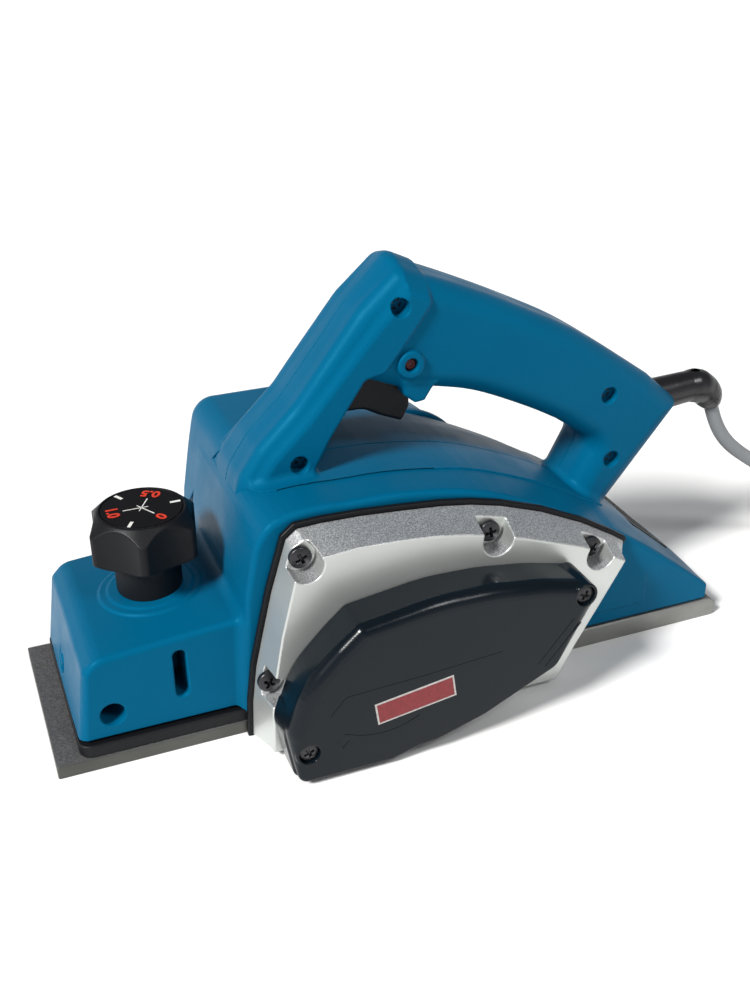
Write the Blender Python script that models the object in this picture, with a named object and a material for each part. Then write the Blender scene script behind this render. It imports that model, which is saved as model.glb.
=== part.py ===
"""Electric hand planer, 82 mm planing width, as an assembly of separate pieces.

Frame: +X is the planing direction (towards the depth knob), +Y is the tool's left side
(the belt side) and +Z is up. The origin lies in the sole plane, at half the base's length
and half the planing width. Outlines and sizes below are in millimetres, and MM turns
them into Blender's metres.
"""
import math

import bmesh
import bpy
from mathutils import Matrix, Vector

MM = 0.001
GAP = 0.3                       # clearance between pieces that touch on the real tool

# ---------------------------------------------------------------- driving dimensions
BASE_LENGTH = 290.0
PLANING_WIDTH = 82.0
HALF_WIDTH = PLANING_WIDTH / 2
FRONT_BASE_THICKNESS = 5.7
REAR_BASE_THICKNESS = 9.0
DEPTH_TRAVEL = 1.0              # how far the front base lifts at full depth

DRUM_X, DRUM_Z = 37.0, 24.0     # cutter drum axis, parallel to Y
CUTTING_RADIUS = 23.6
DRUM_RADIUS = 21.5
MOTOR_X, MOTOR_Z = -24.0, 49.0  # motor axis, parallel to Y
MOTOR_BORE = 34.0

SIDE_Y = 41.0                   # half width of the main housing
GASKET_Y = (SIDE_Y + GAP, 43.6)
COVER_Y = (GASKET_Y[1] + GAP, 60.0)
BELT_COVER_Y = (COVER_Y[1] + GAP, 80.0)
PULLEY_Y = (64.0, 75.0)
DRUM_PULLEY_RADIUS = 13.5
MOTOR_PULLEY_RADIUS = 12.0
BELT_THICKNESS = 2.2

KNOB_X = 97.0                   # depth knob axis, parallel to Z
BOX_BOTTOM = FRONT_BASE_THICKNESS + 5.4 + DEPTH_TRAVEL + GAP
BOX_TOP = 49.3
KNOB_NECK_Z, KNOB_HEAD_Z, KNOB_TOP_Z = 50.2, 66.0, 84.6
KNOB_WAIST, KNOB_LOBE, KNOB_LOBES = 18.6, 22.2, 6
STUD_RADIUS = 4.0

GRIP_HALF_WIDTH = 16.5
COLUMN_HALF_WIDTH = 19.0
TRIGGER_PIVOT = (19.0, 132.0)   # x, z of the trigger's pin
LOCK_AXIS = (-6.0, 133.0)       # x, z of the lock button

CORD_RADIUS = 3.2
COIL_CENTRE = (-272.0, 43.0)
COIL_RADII = (26.1, 45.9)
COIL_HEIGHT = 13.0
PLUG_Y, PLUG_Z = 91.0, 13.2

BLUE = (0.006, 0.115, 0.235)
BLACK = (0.012, 0.013, 0.016)
STEEL = (0.55, 0.55, 0.56)


# ---------------------------------------------------------------- modelling helpers
def clear_scene():
    for thing in list(bpy.data.objects):
        bpy.data.objects.remove(thing)


def material(name, colour, roughness, metallic=0.0):
    paint = bpy.data.materials.new(name)
    paint.use_nodes = True
    shader = paint.node_tree.nodes["Principled BSDF"]
    shader.inputs["Base Color"].default_value = (*colour, 1.0)
    shader.inputs["Roughness"].default_value = roughness
    shader.inputs["Metallic"].default_value = metallic
    return paint


def new_object(name, mesh, paint=None, origin=(0.0, 0.0, 0.0)):
    """Turn a bmesh in millimetres into an object whose origin is at the given point."""
    offset = Vector(origin)
    for vert in mesh.verts:
        vert.co = (vert.co - offset) * MM
    bmesh.ops.recalc_face_normals(mesh, faces=mesh.faces)
    data = bpy.data.meshes.new(name)
    mesh.to_mesh(data)
    mesh.free()
    data.shade_smooth()
    data.set_sharp_from_angle(angle=math.radians(35))
    piece = bpy.data.objects.new(name, data)
    piece.location = offset * MM
    bpy.context.scene.collection.objects.link(piece)
    if paint:
        data.materials.append(paint)
    return piece


def combine(piece, other, operation):
    """Cut or join one object with another, then remove the other."""
    modifier = piece.modifiers.new(operation, "BOOLEAN")
    modifier.operation = operation
    modifier.object = other
    bpy.context.view_layer.update()
    shaped = piece.evaluated_get(bpy.context.evaluated_depsgraph_get())
    data = bpy.data.meshes.new_from_object(shaped)
    piece.modifiers.clear()
    piece.data = data
    bpy.data.objects.remove(other)


def cut(piece, *meshes):
    for mesh in meshes:
        combine(piece, new_object("cutter", mesh), "DIFFERENCE")


def join(piece, *meshes):
    for mesh in meshes:
        combine(piece, new_object("addition", mesh), "UNION")


def loft(sections):
    """Closed mesh through loops that all have the same number of points."""
    mesh = bmesh.new()
    rings = [[mesh.verts.new(point) for point in section] for section in sections]
    count = len(rings[0])
    for low, high in zip(rings, rings[1:]):
        for index in range(count):
            after = (index + 1) % count
            mesh.faces.new((low[index], low[after], high[after], high[index]))
    mesh.faces.new(rings[0])
    mesh.faces.new(rings[-1])
    return mesh


def along_y(outline, y):
    return [(x, y, z) for x, z in outline]


def prism_y(outline, y_low, y_high):
    """Prism along Y whose outline is a list of (x, z) points."""
    return loft([along_y(outline, y_low), along_y(outline, y_high)])


def prism_x(outline, x_low, x_high):
    """Prism along X whose outline is a list of (y, z) points."""
    return loft([[(x, y, z) for y, z in outline] for x in (x_low, x_high)])


def prism_z(outline, z_low, z_high):
    """Prism along Z whose outline is a list of (x, y) points."""
    return loft([[(x, y, z) for x, y in outline] for z in (z_low, z_high)])


def block(low, high):
    (x0, y0, z0), (x1, y1, z1) = low, high
    return prism_z([(x0, y0), (x1, y0), (x1, y1), (x0, y1)], z0, z1)


def circle(centre, radius, segments=24, start=0.0):
    turn = 2 * math.pi / segments
    return [(centre[0] + radius * math.cos(start + turn * index),
             centre[1] + radius * math.sin(start + turn * index))
            for index in range(segments)]


def rod_y(x, z, radius, y_low, y_high, segments=24):
    return prism_y(circle((x, z), radius, segments), y_low, y_high)


def rod_x(y, z, radius, x_low, x_high, segments=16):
    return prism_x(circle((y, z), radius, segments), x_low, x_high)


def rod_z(x, y, radius, z_low, z_high, segments=16):
    return prism_z(circle((x, y), radius, segments), z_low, z_high)


def turned_y(x, z, profile, segments=24):
    """Solid of revolution about an axis along Y, from (radius, y) steps, closed by flat ends."""
    return loft([along_y(circle((x, z), radius, segments), y) for radius, y in profile])


def ring_turned_y(x, z, profile, segments=24):
    """Ring turned about an axis along Y: profile is a closed loop of (radius, y) points."""
    mesh = bmesh.new()
    rings = []
    for index in range(segments):
        angle = 2 * math.pi * index / segments
        rings.append([mesh.verts.new((x + radius * math.cos(angle), y,
                                      z + radius * math.sin(angle)))
                      for radius, y in profile])
    rings.append(rings[0])
    count = len(profile)
    for low, high in zip(rings, rings[1:]):
        for index in range(count):
            after = (index + 1) % count
            mesh.faces.new((low[index], low[after], high[after], high[index]))
    return mesh


def ring_y(x, z, inner, outer, y_low, y_high, segments=24):
    return ring_turned_y(x, z, [(inner, y_low), (outer, y_low), (outer, y_high),
                                (inner, y_high)], segments)


def rounded(corners, steps=3):
    """Outline through (a, b, radius) corners, each one turned into an arc."""
    outline = []
    for index, (a, b, radius) in enumerate(corners):
        here = Vector((a, b))
        if radius == 0:
            outline.append((a, b))
            continue
        before = (Vector(corners[index - 1][:2]) - here).normalized()
        after = (Vector(corners[(index + 1) % len(corners)][:2]) - here).normalized()
        half = before.angle(after) / 2
        centre = here + (before + after).normalized() * radius / math.sin(half)
        first = here + before * radius / math.tan(half) - centre
        last = here + after * radius / math.tan(half) - centre
        start = math.atan2(first.y, first.x)
        sweep = math.atan2(last.y, last.x) - start
        sweep = (sweep + math.pi) % (2 * math.pi) - math.pi
        for step in range(steps + 1):
            angle = start + sweep * step / steps
            outline.append((centre.x + radius * math.cos(angle),
                            centre.y + radius * math.sin(angle)))
    return outline


def shrunk(outline, distance):
    """The outline moved inwards by a distance (negative moves it outwards)."""
    area = sum(a[0] * b[1] - b[0] * a[1] for a, b in zip(outline, outline[1:] + outline[:1]))
    side = 1 if area > 0 else -1
    moved = []
    for index, here in enumerate(outline):
        here = Vector(here)
        back = (here - Vector(outline[index - 1])).normalized()
        ahead = (Vector(outline[(index + 1) % len(outline)]) - here).normalized()
        inward = Vector((-back.y - ahead.y, back.x + ahead.x)).normalized() * side
        stretch = max(0.5, math.cos(back.angle(ahead) / 2))
        moved.append(tuple(here + inward * distance / stretch))
    return moved


def spread(rows, x):
    """Height of a profile given as (x, z) rows, by straight lines between them."""
    rows = sorted(rows)
    for (x0, z0), (x1, z1) in zip(rows, rows[1:]):
        if x0 <= x <= x1:
            return z0 + (z1 - z0) * (x - x0) / (x1 - x0)
    return rows[0][1] if x < rows[0][0] else rows[-1][1]


def helix(name, paint, centre, axis, radius, wire, length, turns, per_turn=10):
    """A compression spring: one closed tube that winds along the axis."""
    along = Vector(axis).normalized()
    side = along.orthogonal().normalized()
    other = along.cross(side)
    curve = bpy.data.curves.new(name, "CURVE")
    curve.dimensions = "3D"
    curve.bevel_depth = wire * MM
    curve.bevel_resolution = 1
    curve.use_fill_caps = True
    curve.render_resolution_u = 0
    spline = curve.splines.new("POLY")
    count = int(turns * per_turn)
    spline.points.add(count)
    for index in range(count + 1):
        angle = 2 * math.pi * index / per_turn
        point = (along * length * index / count + side * radius * math.cos(angle)
                 + other * radius * math.sin(angle))
        spline.points[index].co = (*(point * MM), 1.0)
    piece = bpy.data.objects.new(name, curve)
    piece.location = Vector(centre) * MM
    curve.materials.append(paint)
    bpy.context.scene.collection.objects.link(piece)
    return piece


def smooth_route(points, spacing):
    """Evenly spaced points on a Catmull-Rom curve through the route's points."""
    route = [Vector(point) for point in points]
    route = [2 * route[0] - route[1]] + route + [2 * route[-1] - route[-2]]
    dense = []
    for before, start, end, after in zip(route, route[1:], route[2:], route[3:]):
        for step in range(20):
            t = step / 20
            dense.append(0.5 * (2 * start + (end - before) * t
                                + (2 * before - 5 * start + 4 * end - after) * t * t
                                + (3 * start - before - 3 * end + after) * t * t * t))
    dense.append(route[-2])
    lengths = [0.0]
    for low, high in zip(dense, dense[1:]):
        lengths.append(lengths[-1] + (high - low).length)
    count = max(2, round(lengths[-1] / spacing))
    even, index = [], 0
    for step in range(count + 1):
        goal = lengths[-1] * step / count
        while index < len(dense) - 2 and lengths[index + 1] < goal:
            index += 1
        part = (goal - lengths[index]) / (lengths[index + 1] - lengths[index])
        even.append(dense[index].lerp(dense[index + 1], part))
    return even


def tube(name, paint, points, radius):
    """A cord: a curve object with a round section and closed ends."""
    curve = bpy.data.curves.new(name, "CURVE")
    curve.dimensions = "3D"
    curve.bevel_depth = radius * MM
    curve.bevel_resolution = 2
    curve.use_fill_caps = True
    curve.render_resolution_u = 0
    spline = curve.splines.new("POLY")
    spline.points.add(len(points) - 1)
    for target, point in zip(spline.points, points):
        target.co = (*(point * MM), 1.0)
    piece = bpy.data.objects.new(name, curve)
    curve.materials.append(paint)
    bpy.context.scene.collection.objects.link(piece)
    return piece


def bent_tube(stations, segments=14):
    """Closed solid of round sections: stations are (x, z, direction angle, radius) in the XZ plane."""
    sections = []
    for x, z, angle, radius in stations:
        across = Vector((-math.sin(angle), 0.0, math.cos(angle)))
        centre = Vector((x, 0.0, z))
        sections.append([centre + across * radius * math.cos(2 * math.pi * index / segments)
                         + Vector((0.0, radius * math.sin(2 * math.pi * index / segments), 0.0))
                         for index in range(segments)])
    return loft(sections)


# ---------------------------------------------------------------- outlines in the XZ plane
# Top of the main housing from the front wall back over the motor and down the rear slope:
# x, then z at the side wall, at the handle's edge (y = 25) and on the centre line.
HUMP = [(57, 92, 93, 93.5), (47, 94, 94, 94.8), (28, 93, 93.3, 94.5), (8, 92.5, 92.7, 94),
        (-13, 89.5, 90, 91.5), (-31, 84.5, 86, 87.5), (-52, 75, 78, 79.5),
        (-71, 65, 69, 70.5), (-84, 57, 61, 62.5), (-93, 52.5, 56, 57.5),
        (-114, 37.5, 40.5, 41.5), (-138.4, 18, 19.5, 20)]
FRONT_WALL = [(72, 9.3), (71.5, 30), (69.5, 60), (66, 80), (62, 89)]

# Bearing cover: where it leaves the gasket, seen from the left.
COVER_BASE = [(71, 0.8), (70.2, 16.6), (68.1, 32.6), (64.6, 47.7), (60.6, 64.4), (55.7, 80.4),
              (54.3, 85.1), (50, 88.7), (40.5, 89.1), (25, 88.7), (9.1, 87.5), (-7.3, 86),
              (-19.9, 84), (-32.8, 80.8), (-50.7, 74.4), (-69.5, 65.4), (-84.3, 56.5),
              (-90.5, 52.3), (-80, 34), (-68, 13), (-61, 0.8)]
COVER_CAVITY = [(61, 8), (59.5, 30), (55, 52), (48, 77), (40, 80.5), (10, 79), (-20, 75.5),
                (-45, 68), (-77, 52), (-66, 30), (-54, 8)]
COVER_DRAFT = 3.6               # how far the cover's rim lies inside its base outline
COVER_SCREWS = [(51.3, 81.2), (65.5, 30.5), (-24, 75.5), (-69.8, 58.4)]

# Belt cover: seat on the bearing cover, and its flat front face.
BELT_SEAT = [(62, 6), (65.5, 14), (66, 26), (63.5, 36), (55, 52), (44, 66), (28, 74.5), (5, 75),
             (-20, 72.5), (-44, 69.5), (-58, 63.5), (-61, 56), (-46, 29), (-22, 13.5), (4, 6),
             (18, 2.5), (30, 1.2), (52, 1.2)]
BELT_FACE = [(61.5, 8.5), (65, 16), (65.5, 25), (61.5, 39), (53, 51), (40, 61.3), (24.5, 67.2),
             (3, 68.5), (-22.8, 66.1), (-42, 63), (-54, 59), (-57, 53), (-42.5, 31), (-20, 17.7),
             (4, 8.7), (18, 5.5), (28, 4.5), (51, 3.6)]
BELT_SCREWS = [(59.4, 15.3), (-51.5, 56.0)]

# Handle: outer outline and hand opening as (x, z, corner radius).
HANDLE_OUTLINE = [(56, 88, 0), (55.5, 101, 5), (39.6, 121, 28), (13.5, 155, 0), (-4.5, 173, 5),
                  (-25, 162, 0), (-42, 154, 0), (-60, 145, 0), (-79, 134.5, 0),
                  (-99, 121, 0), (-118, 107, 0), (-131.5, 93, 6), (-97, 50, 0),
                  (-78, 59, 0), (-91.5, 83, 5), (-75.5, 95.5, 0), (-63, 102.5, 0),
                  (-44.5, 111.5, 0), (-36, 115.5, 0), (-16, 120.5, 0), (-5, 120.5, 0),
                  (11, 128, 3), (21, 117, 0), (27, 108, 0), (38.5, 88, 0)]
FINGER_STOP = [(-17, 123), (-12.5, 117), (-9.5, 116.6), (-5.5, 119.5), (-5, 126), (-16, 127)]
COLUMN_OUTLINE = [(56, 88, 0), (55.5, 101, 5), (39.6, 121, 28), (13.5, 155, 0), (-2, 170.5, 5),
                  (-11, 161, 6), (-7, 149, 0), (4, 134, 0), (12.5, 129.5, 0), (21, 117, 0),
                  (27, 108, 0), (38.5, 88, 0)]
HANDLE_POCKET = [(50, 90), (50, 100), (36, 119.5), (10, 153), (-3, 165.5), (-22, 157.5),
                 (-57, 140.5), (-95, 116.5), (-114, 103), (-114, 84), (-108, 78), (-97, 90),
                 (-77, 100), (-44, 116.5), (-14, 126), (-14, 124), (14, 132), (25, 117),
                 (34, 104), (40, 90)]
HANDLE_SCREWS = [(-1.5, 156), (39.5, 100), (-95.5, 105), (-99.5, 75)]

BASE_SCREWS = [(-122, -30), (-70, 30)]      # x, y of the rear base's screws
VENT_Y = (-33.0, 22.0)                      # the vent grille's ends
GUIDE_HOLE = (122.0, 21.7)                  # x, z of the edge guide's bolt hole


def hump_outline(column, lift=0.0):
    """Closed XZ outline of the main housing at one of the three columns of HUMP."""
    top = [(row[0], row[column] + lift) for row in HUMP]
    return FRONT_WALL + top + [(-140, 16), (-140, REAR_BASE_THICKNESS + GAP)]


def hump_solid(lift=0.0):
    """Motor hump and rear wedge, without its hollows; lift raises its top for clearance."""
    return loft([along_y(hump_outline(column, lift), y) for column, y in
                 ((1, -SIDE_Y), (2, -25), (3, 0), (2, 25), (1, SIDE_Y))])


# ---------------------------------------------------------------- housings
def make_main_housing(paint):
    housing = new_object("main_housing", hump_solid(), paint)
    box = []
    for z, front, half in ((BOX_BOTTOM, 135.6, 38.2), (40, 130.2, 37.0), (45, 128.0, 35.5),
                           (48, 123.5, 32.5), (BOX_TOP, 117.0, 27.5)):
        corners = [(60, -half, 0), (front, -half, 7), (front, half, 7), (60, half, 0)]
        box.append([(x, y, z) for x, y in rounded(corners)])
    join(housing, loft(box))
    cut(housing,
        rod_y(MOTOR_X, MOTOR_Z, MOTOR_BORE, -50, 50, 36),
        rod_y(DRUM_X, DRUM_Z, 27, -50, 50, 32),
        block((13, -50, -5), (62, 50, 22)),
        block((60, -50, -5), (150, 50, BOX_BOTTOM)),
        prism_y([(76, 0), (131.5, 0), (124.5, 44.4), (76, 44.4)], -34, 34),
        rod_z(KNOB_X, 0, STUD_RADIUS + 0.6, 30, 60),
        block((23, -50, 38), (58, 14, 86)),
        prism_y([(-131, 12.8), (-48, 12.8), (-48, 40), (-66, 58), (-90, 46), (-113, 31),
                 (-131, 17)], -35, 35),
        prism_y(rounded([(92.8, 22.4, 2.4), (97.8, 22.4, 2.4), (97.8, 42.9, 2.4),
                         (92.8, 42.9, 2.4)]), 35.4, 50),
        rod_y(*GUIDE_HOLE, 4.7, 30, 50, 16),
        prism_y(slope_band(-130.5, -110.5, -3.2, 12), VENT_Y[0] - GAP, VENT_Y[1] + GAP),
        prism_y(slope_band(-124, -117, -12, 0), VENT_Y[0] + 5, VENT_Y[1] - 5))
    for x, y in BASE_SCREWS:
        cut(housing, rod_z(x, y, 2.5, 0, 12, 10))
    return housing


def make_chip_chute(paint):
    """Chip outlet on the right front of the housing, open to the drum chamber and to the right."""
    inner = -SIDE_Y - GAP
    shape = [(inner, 53), (-62, 53), (-62, 88), (-57, 97), (-50, 101), (-22.5, 101),
             (-22.5, 95.4), (inner, 95.4)]
    chute = new_object("chip_chute", prism_x(shape, 17, 64.5), paint)
    cut(chute, block((20, -70, 56), (61.5, -30, 92)))
    return chute


def make_motor_end_cover(paint):
    cover = new_object("motor_end_cover", turned_y(
        MOTOR_X, MOTOR_Z, [(25, -76), (29, -74), (31.5, -60), (34.5, -45), (37, -44),
                           (37, -SIDE_Y - GAP)], 32), paint)
    cut(cover, turned_y(MOTOR_X, MOTOR_Z, [(26, -72.5), (28.5, -60), (31.5, -30)], 24))
    for step in range(5):
        height = MOTOR_Z - 14 + 7 * step
        half = 17 - abs(step - 2) * 3
        cut(cover, block((MOTOR_X - half, -80, height - 1.5), (MOTOR_X + half, -70, height + 1.5)))
    return cover


def slope_band(x_low, x_high, depth, height):
    """XZ outline of a band along the rear slope, from below its surface to above it."""
    side = [(row[0], row[3]) for row in HUMP]
    low, high = Vector((x_low, spread(side, x_low))), Vector((x_high, spread(side, x_high)))
    along = (high - low).normalized()
    up = Vector((-along.y, along.x))
    return [tuple(low + up * depth), tuple(high + up * depth),
            tuple(high + up * height), tuple(low + up * height)]


def make_vent_grille(paint):
    """Black louvred insert near the foot of the rear slope."""
    grille = new_object("vent_grille", prism_y(slope_band(-130, -111, -2.9, 0.8), *VENT_Y), paint)
    for step in range(8):
        y = VENT_Y[0] + 6 + step * 6
        cut(grille, prism_y(slope_band(-126, -115, -6, 4), y, y + 2.6))
    return grille


def make_gasket(paint):
    outline = shrunk(COVER_BASE, -2.5)
    outline = [(x, max(z, 0.4)) for x, z in outline]
    gasket = new_object("side_gasket", prism_y(outline, *GASKET_Y), paint)
    cut(gasket, rod_y(MOTOR_X, MOTOR_Z, 30, 30, 50, 28), rod_y(DRUM_X, DRUM_Z, 22, 30, 50, 28))
    for x, z in COVER_SCREWS:
        cut(gasket, rod_y(x, z, 2.6, 30, 50, 8))
    return gasket


def make_bearing_cover(paint):
    """Die-cast cover that carries the left bearings and closes the housing's side."""
    rim = shrunk(COVER_BASE, COVER_DRAFT)
    rim = [(x, max(z, 3.0)) for x, z in rim]
    cover = new_object("bearing_cover", loft([along_y(COVER_BASE, COVER_Y[0]),
                                              along_y(rim, COVER_Y[1])]), paint)
    cut(cover, prism_y(COVER_CAVITY, 40, 55.5))
    join(cover, ring_y(DRUM_X, DRUM_Z, 11.3, 15.5, 46, 57, 24),
         ring_y(MOTOR_X, MOTOR_Z, 11.3, 15.5, 46, 57, 24))
    cut(cover, rod_y(DRUM_X, DRUM_Z, 9, 50, 70, 20), rod_y(MOTOR_X, MOTOR_Z, 9, 50, 70, 20))
    for x, z in COVER_SCREWS:
        join(cover, rod_y(x, z, 6.4, COVER_Y[0], 50, 12))
        cut(cover, rod_y(x, z, 5.6, 50, 70, 12), rod_y(x, z, 2.6, 40, 60, 8))
    return cover


def make_belt_cover(paint):
    cover = new_object("belt_cover", loft([along_y(BELT_SEAT, BELT_COVER_Y[0]),
                                           along_y(shrunk(BELT_SEAT, 0.6), 73.5),
                                           along_y(BELT_FACE, BELT_COVER_Y[1])]), paint)
    cut(cover, loft([along_y(shrunk(BELT_SEAT, 3.2), 59), along_y(shrunk(BELT_FACE, 2.0), 77.5)]))
    for x, z in BELT_SCREWS:
        join(cover, rod_y(x, z, 3.9, BELT_COVER_Y[0], 79.0, 12))
        cut(cover, rod_y(x, z, 3.6, 76.5, 82, 12), rod_y(x, z, 1.8, 58, 80, 8))
    return cover


# ---------------------------------------------------------------- bases
def mouth_arc(radius, z_low, z_high, side):
    """Concave edge of a base beside the drum, from the sole up to its top face."""
    points = []
    for step in range(4):
        z = z_low + (z_high - z_low) * step / 3
        reach = math.sqrt(radius ** 2 - (DRUM_Z - z) ** 2)
        points.append((DRUM_X + side * reach, z))
    return points


def make_rear_base(paint):
    top = REAR_BASE_THICKNESS
    rear = -BASE_LENGTH / 2
    outline = ([(rear + 2.5, 0), (rear, 3.5), (rear, top)]
               + mouth_arc(25.6, 0, top, -1)[::-1])
    base = new_object("rear_base", prism_y(outline, -HALF_WIDTH, HALF_WIDTH), paint)
    for x, y in BASE_SCREWS:
        cut(base, rod_z(x, y, 4.8, -1, 3.2, 12), rod_z(x, y, 2.5, -1, 12, 10))
    return base


def make_front_base(paint):
    top = FRONT_BASE_THICKNESS
    front = BASE_LENGTH / 2
    outline = ([(front - 0.8, 0), (front, 1.2), (front, top)]
               + mouth_arc(25.9, 0, top, 1)[::-1])
    base = new_object("front_base", prism_y(outline, -HALF_WIDTH, HALF_WIDTH), paint)
    join(base, rod_z(KNOB_X, 0, 9, 3, 14, 20), block((79, -30, 3), (86, 30, 22)))
    return base


def make_front_skirt(paint):
    """Black plate on the front base that closes the foot of the front box."""
    outer = rounded([(68.5, -40.6, 0), (135.9, -40.6, 5), (135.9, 40.6, 5), (68.5, 40.6, 0)])
    low = FRONT_BASE_THICKNESS + GAP
    skirt = new_object("front_skirt", prism_z(outer, low, low + 5.1), paint)
    cut(skirt, block((74, -33, 0), (128, 33, 20)))
    return skirt


# ---------------------------------------------------------------- depth adjustment
def make_depth_stud(paint):
    return new_object("depth_stud", rod_z(KNOB_X, 0, STUD_RADIUS, 14 + GAP, 79, 14), paint,
                      (KNOB_X, 0, 14 + GAP))


def knob_outline(scale=1.0, segments=48):
    """Six-lobed outline with hollow flanks."""
    points = []
    for index in range(segments):
        angle = 2 * math.pi * index / segments
        lobe = (1 + math.cos(KNOB_LOBES * angle)) / 2
        radius = (KNOB_WAIST + (KNOB_LOBE - KNOB_WAIST) * lobe ** 1.6) * scale
        points.append((KNOB_X + radius * math.cos(angle), radius * math.sin(angle)))
    return points


def make_depth_knob(paint):
    sections = [[(x, y, KNOB_HEAD_Z) for x, y in knob_outline(0.97)],
                [(x, y, KNOB_HEAD_Z + 1.5) for x, y in knob_outline()],
                [(x, y, KNOB_TOP_Z - 3.5) for x, y in knob_outline()],
                [(x, y, KNOB_TOP_Z) for x, y in knob_outline(0.84)]]
    knob = new_object("depth_knob", loft(sections), paint, (KNOB_X, 0, KNOB_HEAD_Z))
    join(knob, rod_z(KNOB_X, 0, 12.6, KNOB_NECK_Z, KNOB_HEAD_Z + 4, 28))
    cut(knob, rod_z(KNOB_X, 0, STUD_RADIUS + 0.4, 40, 80.6, 16),
        rod_z(KNOB_X, 0, 15.9, KNOB_TOP_Z - 0.9, KNOB_TOP_Z + 5, 32))
    return knob


def make_dial_plate(paint):
    z = KNOB_TOP_Z - 0.9 + 0.2
    return new_object("dial_plate", rod_z(KNOB_X, 0, 15.5, z, z + 0.6, 32), paint, (KNOB_X, 0, z))


# ---------------------------------------------------------------- cutter drum
def chord_piece(offset_low, offset_high, left, right, radius, facing):
    """Section of the drum assembly that lies parallel to a blade seat."""
    corners = []
    for offset, edge in ((offset_low, right), (offset_high, right), (offset_high, left),
                         (offset_low, left)):
        reach = math.sqrt(max(0.0, radius ** 2 - offset ** 2))
        corners.append((max(-reach, min(edge, reach)), offset))
    tilt = math.radians(20) + (0 if facing > 0 else math.pi)
    cosine, sine = math.cos(tilt), math.sin(tilt)
    return [(DRUM_X + a * cosine - b * sine, DRUM_Z + a * sine + b * cosine) for a, b in corners]


def make_drum(paint):
    drum = new_object("cutter_drum", rod_y(DRUM_X, DRUM_Z, DRUM_RADIUS, -40.7, 40.7, 36), paint,
                      (DRUM_X, 0, DRUM_Z))
    for facing in (1, -1):
        cut(drum, prism_y(chord_piece(10.7, 30, -25, 25, 40, facing), -60, 60))
    join(drum, rod_y(DRUM_X, DRUM_Z, 5, -55.5, 77.3, 16))
    return drum


def make_blades(steel, dark):
    for facing, number in ((1, 1), (-1, 2)):
        blade = chord_piece(11.0, 13.6, -9, 30, CUTTING_RADIUS, facing)
        new_object("planer_blade_%d" % number, prism_y(blade, -40.7, 40.7), steel,
                   (DRUM_X, 0, DRUM_Z))
        clamp = chord_piece(13.9, 18.2, -14, 11, 20.6, facing)
        new_object("blade_clamp_%d" % number, prism_y(clamp, -40.5, 40.5), dark,
                   (DRUM_X, 0, DRUM_Z))


def make_bearing(name, paint, x, z, y_low, y_high, bore=5.3, outer=11.0):
    return new_object(name, ring_y(x, z, bore, outer, y_low, y_high, 20), paint,
                      (x, (y_low + y_high) / 2, z))


def make_drum_end_plate(paint):
    """Carries the drum's right bearing, outside the housing."""
    plate = new_object("drum_end_plate", turned_y(
        DRUM_X, DRUM_Z, [(14.5, -58), (15.5, -57), (16, -46), (23.4, -45), (23.4, -SIDE_Y - GAP)], 28),
        paint)
    cut(plate, rod_y(DRUM_X, DRUM_Z, 11.3, -56, -30, 20), rod_y(DRUM_X, DRUM_Z, 19, -43.5, -30, 20))
    return plate


def make_pulley(name, paint, x, z, radius):
    low, high = PULLEY_Y
    profile = [(radius + 1.6, low), (radius + 1.6, low + 1), (radius, low + 1.2),
               (radius, high - 1.2), (radius + 1.6, high - 1), (radius + 1.6, high)]
    ring = [(5.3, low)] + profile + [(5.3, high)]
    return new_object(name, ring_turned_y(x, z, ring, 24), paint, (x, 0, z))


def belt_loop(grow):
    """Outline of the belt around both pulleys, grown outwards from the pulleys' grooves."""
    a, b = Vector((DRUM_X, DRUM_Z)), Vector((MOTOR_X, MOTOR_Z))
    radius_a, radius_b = DRUM_PULLEY_RADIUS + grow, MOTOR_PULLEY_RADIUS + grow
    heading = math.atan2(b.y - a.y, b.x - a.x)
    lean = math.acos((radius_a - radius_b) / (b - a).length)
    points = []
    steps = 10
    for centre, radius, first, last in ((a, radius_a, lean, 2 * math.pi - lean),
                                        (b, radius_b, -lean, lean)):
        for step in range(steps + 1):
            angle = heading + first + (last - first) * step / steps
            points.append((centre.x + radius * math.cos(angle),
                           centre.y + radius * math.sin(angle)))
    return points


def make_belt(paint):
    inner, outer = belt_loop(GAP + 0.1), belt_loop(GAP + 0.1 + BELT_THICKNESS)
    low, high = PULLEY_Y[0] + 1.6, PULLEY_Y[1] - 1.6
    mesh = bmesh.new()
    rings = []
    for (xi, zi), (xo, zo) in zip(inner, outer):
        rings.append([mesh.verts.new(point) for point in
                      ((xi, low, zi), (xo, low, zo), (xo, high, zo), (xi, high, zi))])
    rings.append(rings[0])
    for first, second in zip(rings, rings[1:]):
        for index in range(4):
            after = (index + 1) % 4
            mesh.faces.new((first[index], first[after], second[after], second[index]))
    return new_object("drive_belt", mesh, paint)


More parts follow.
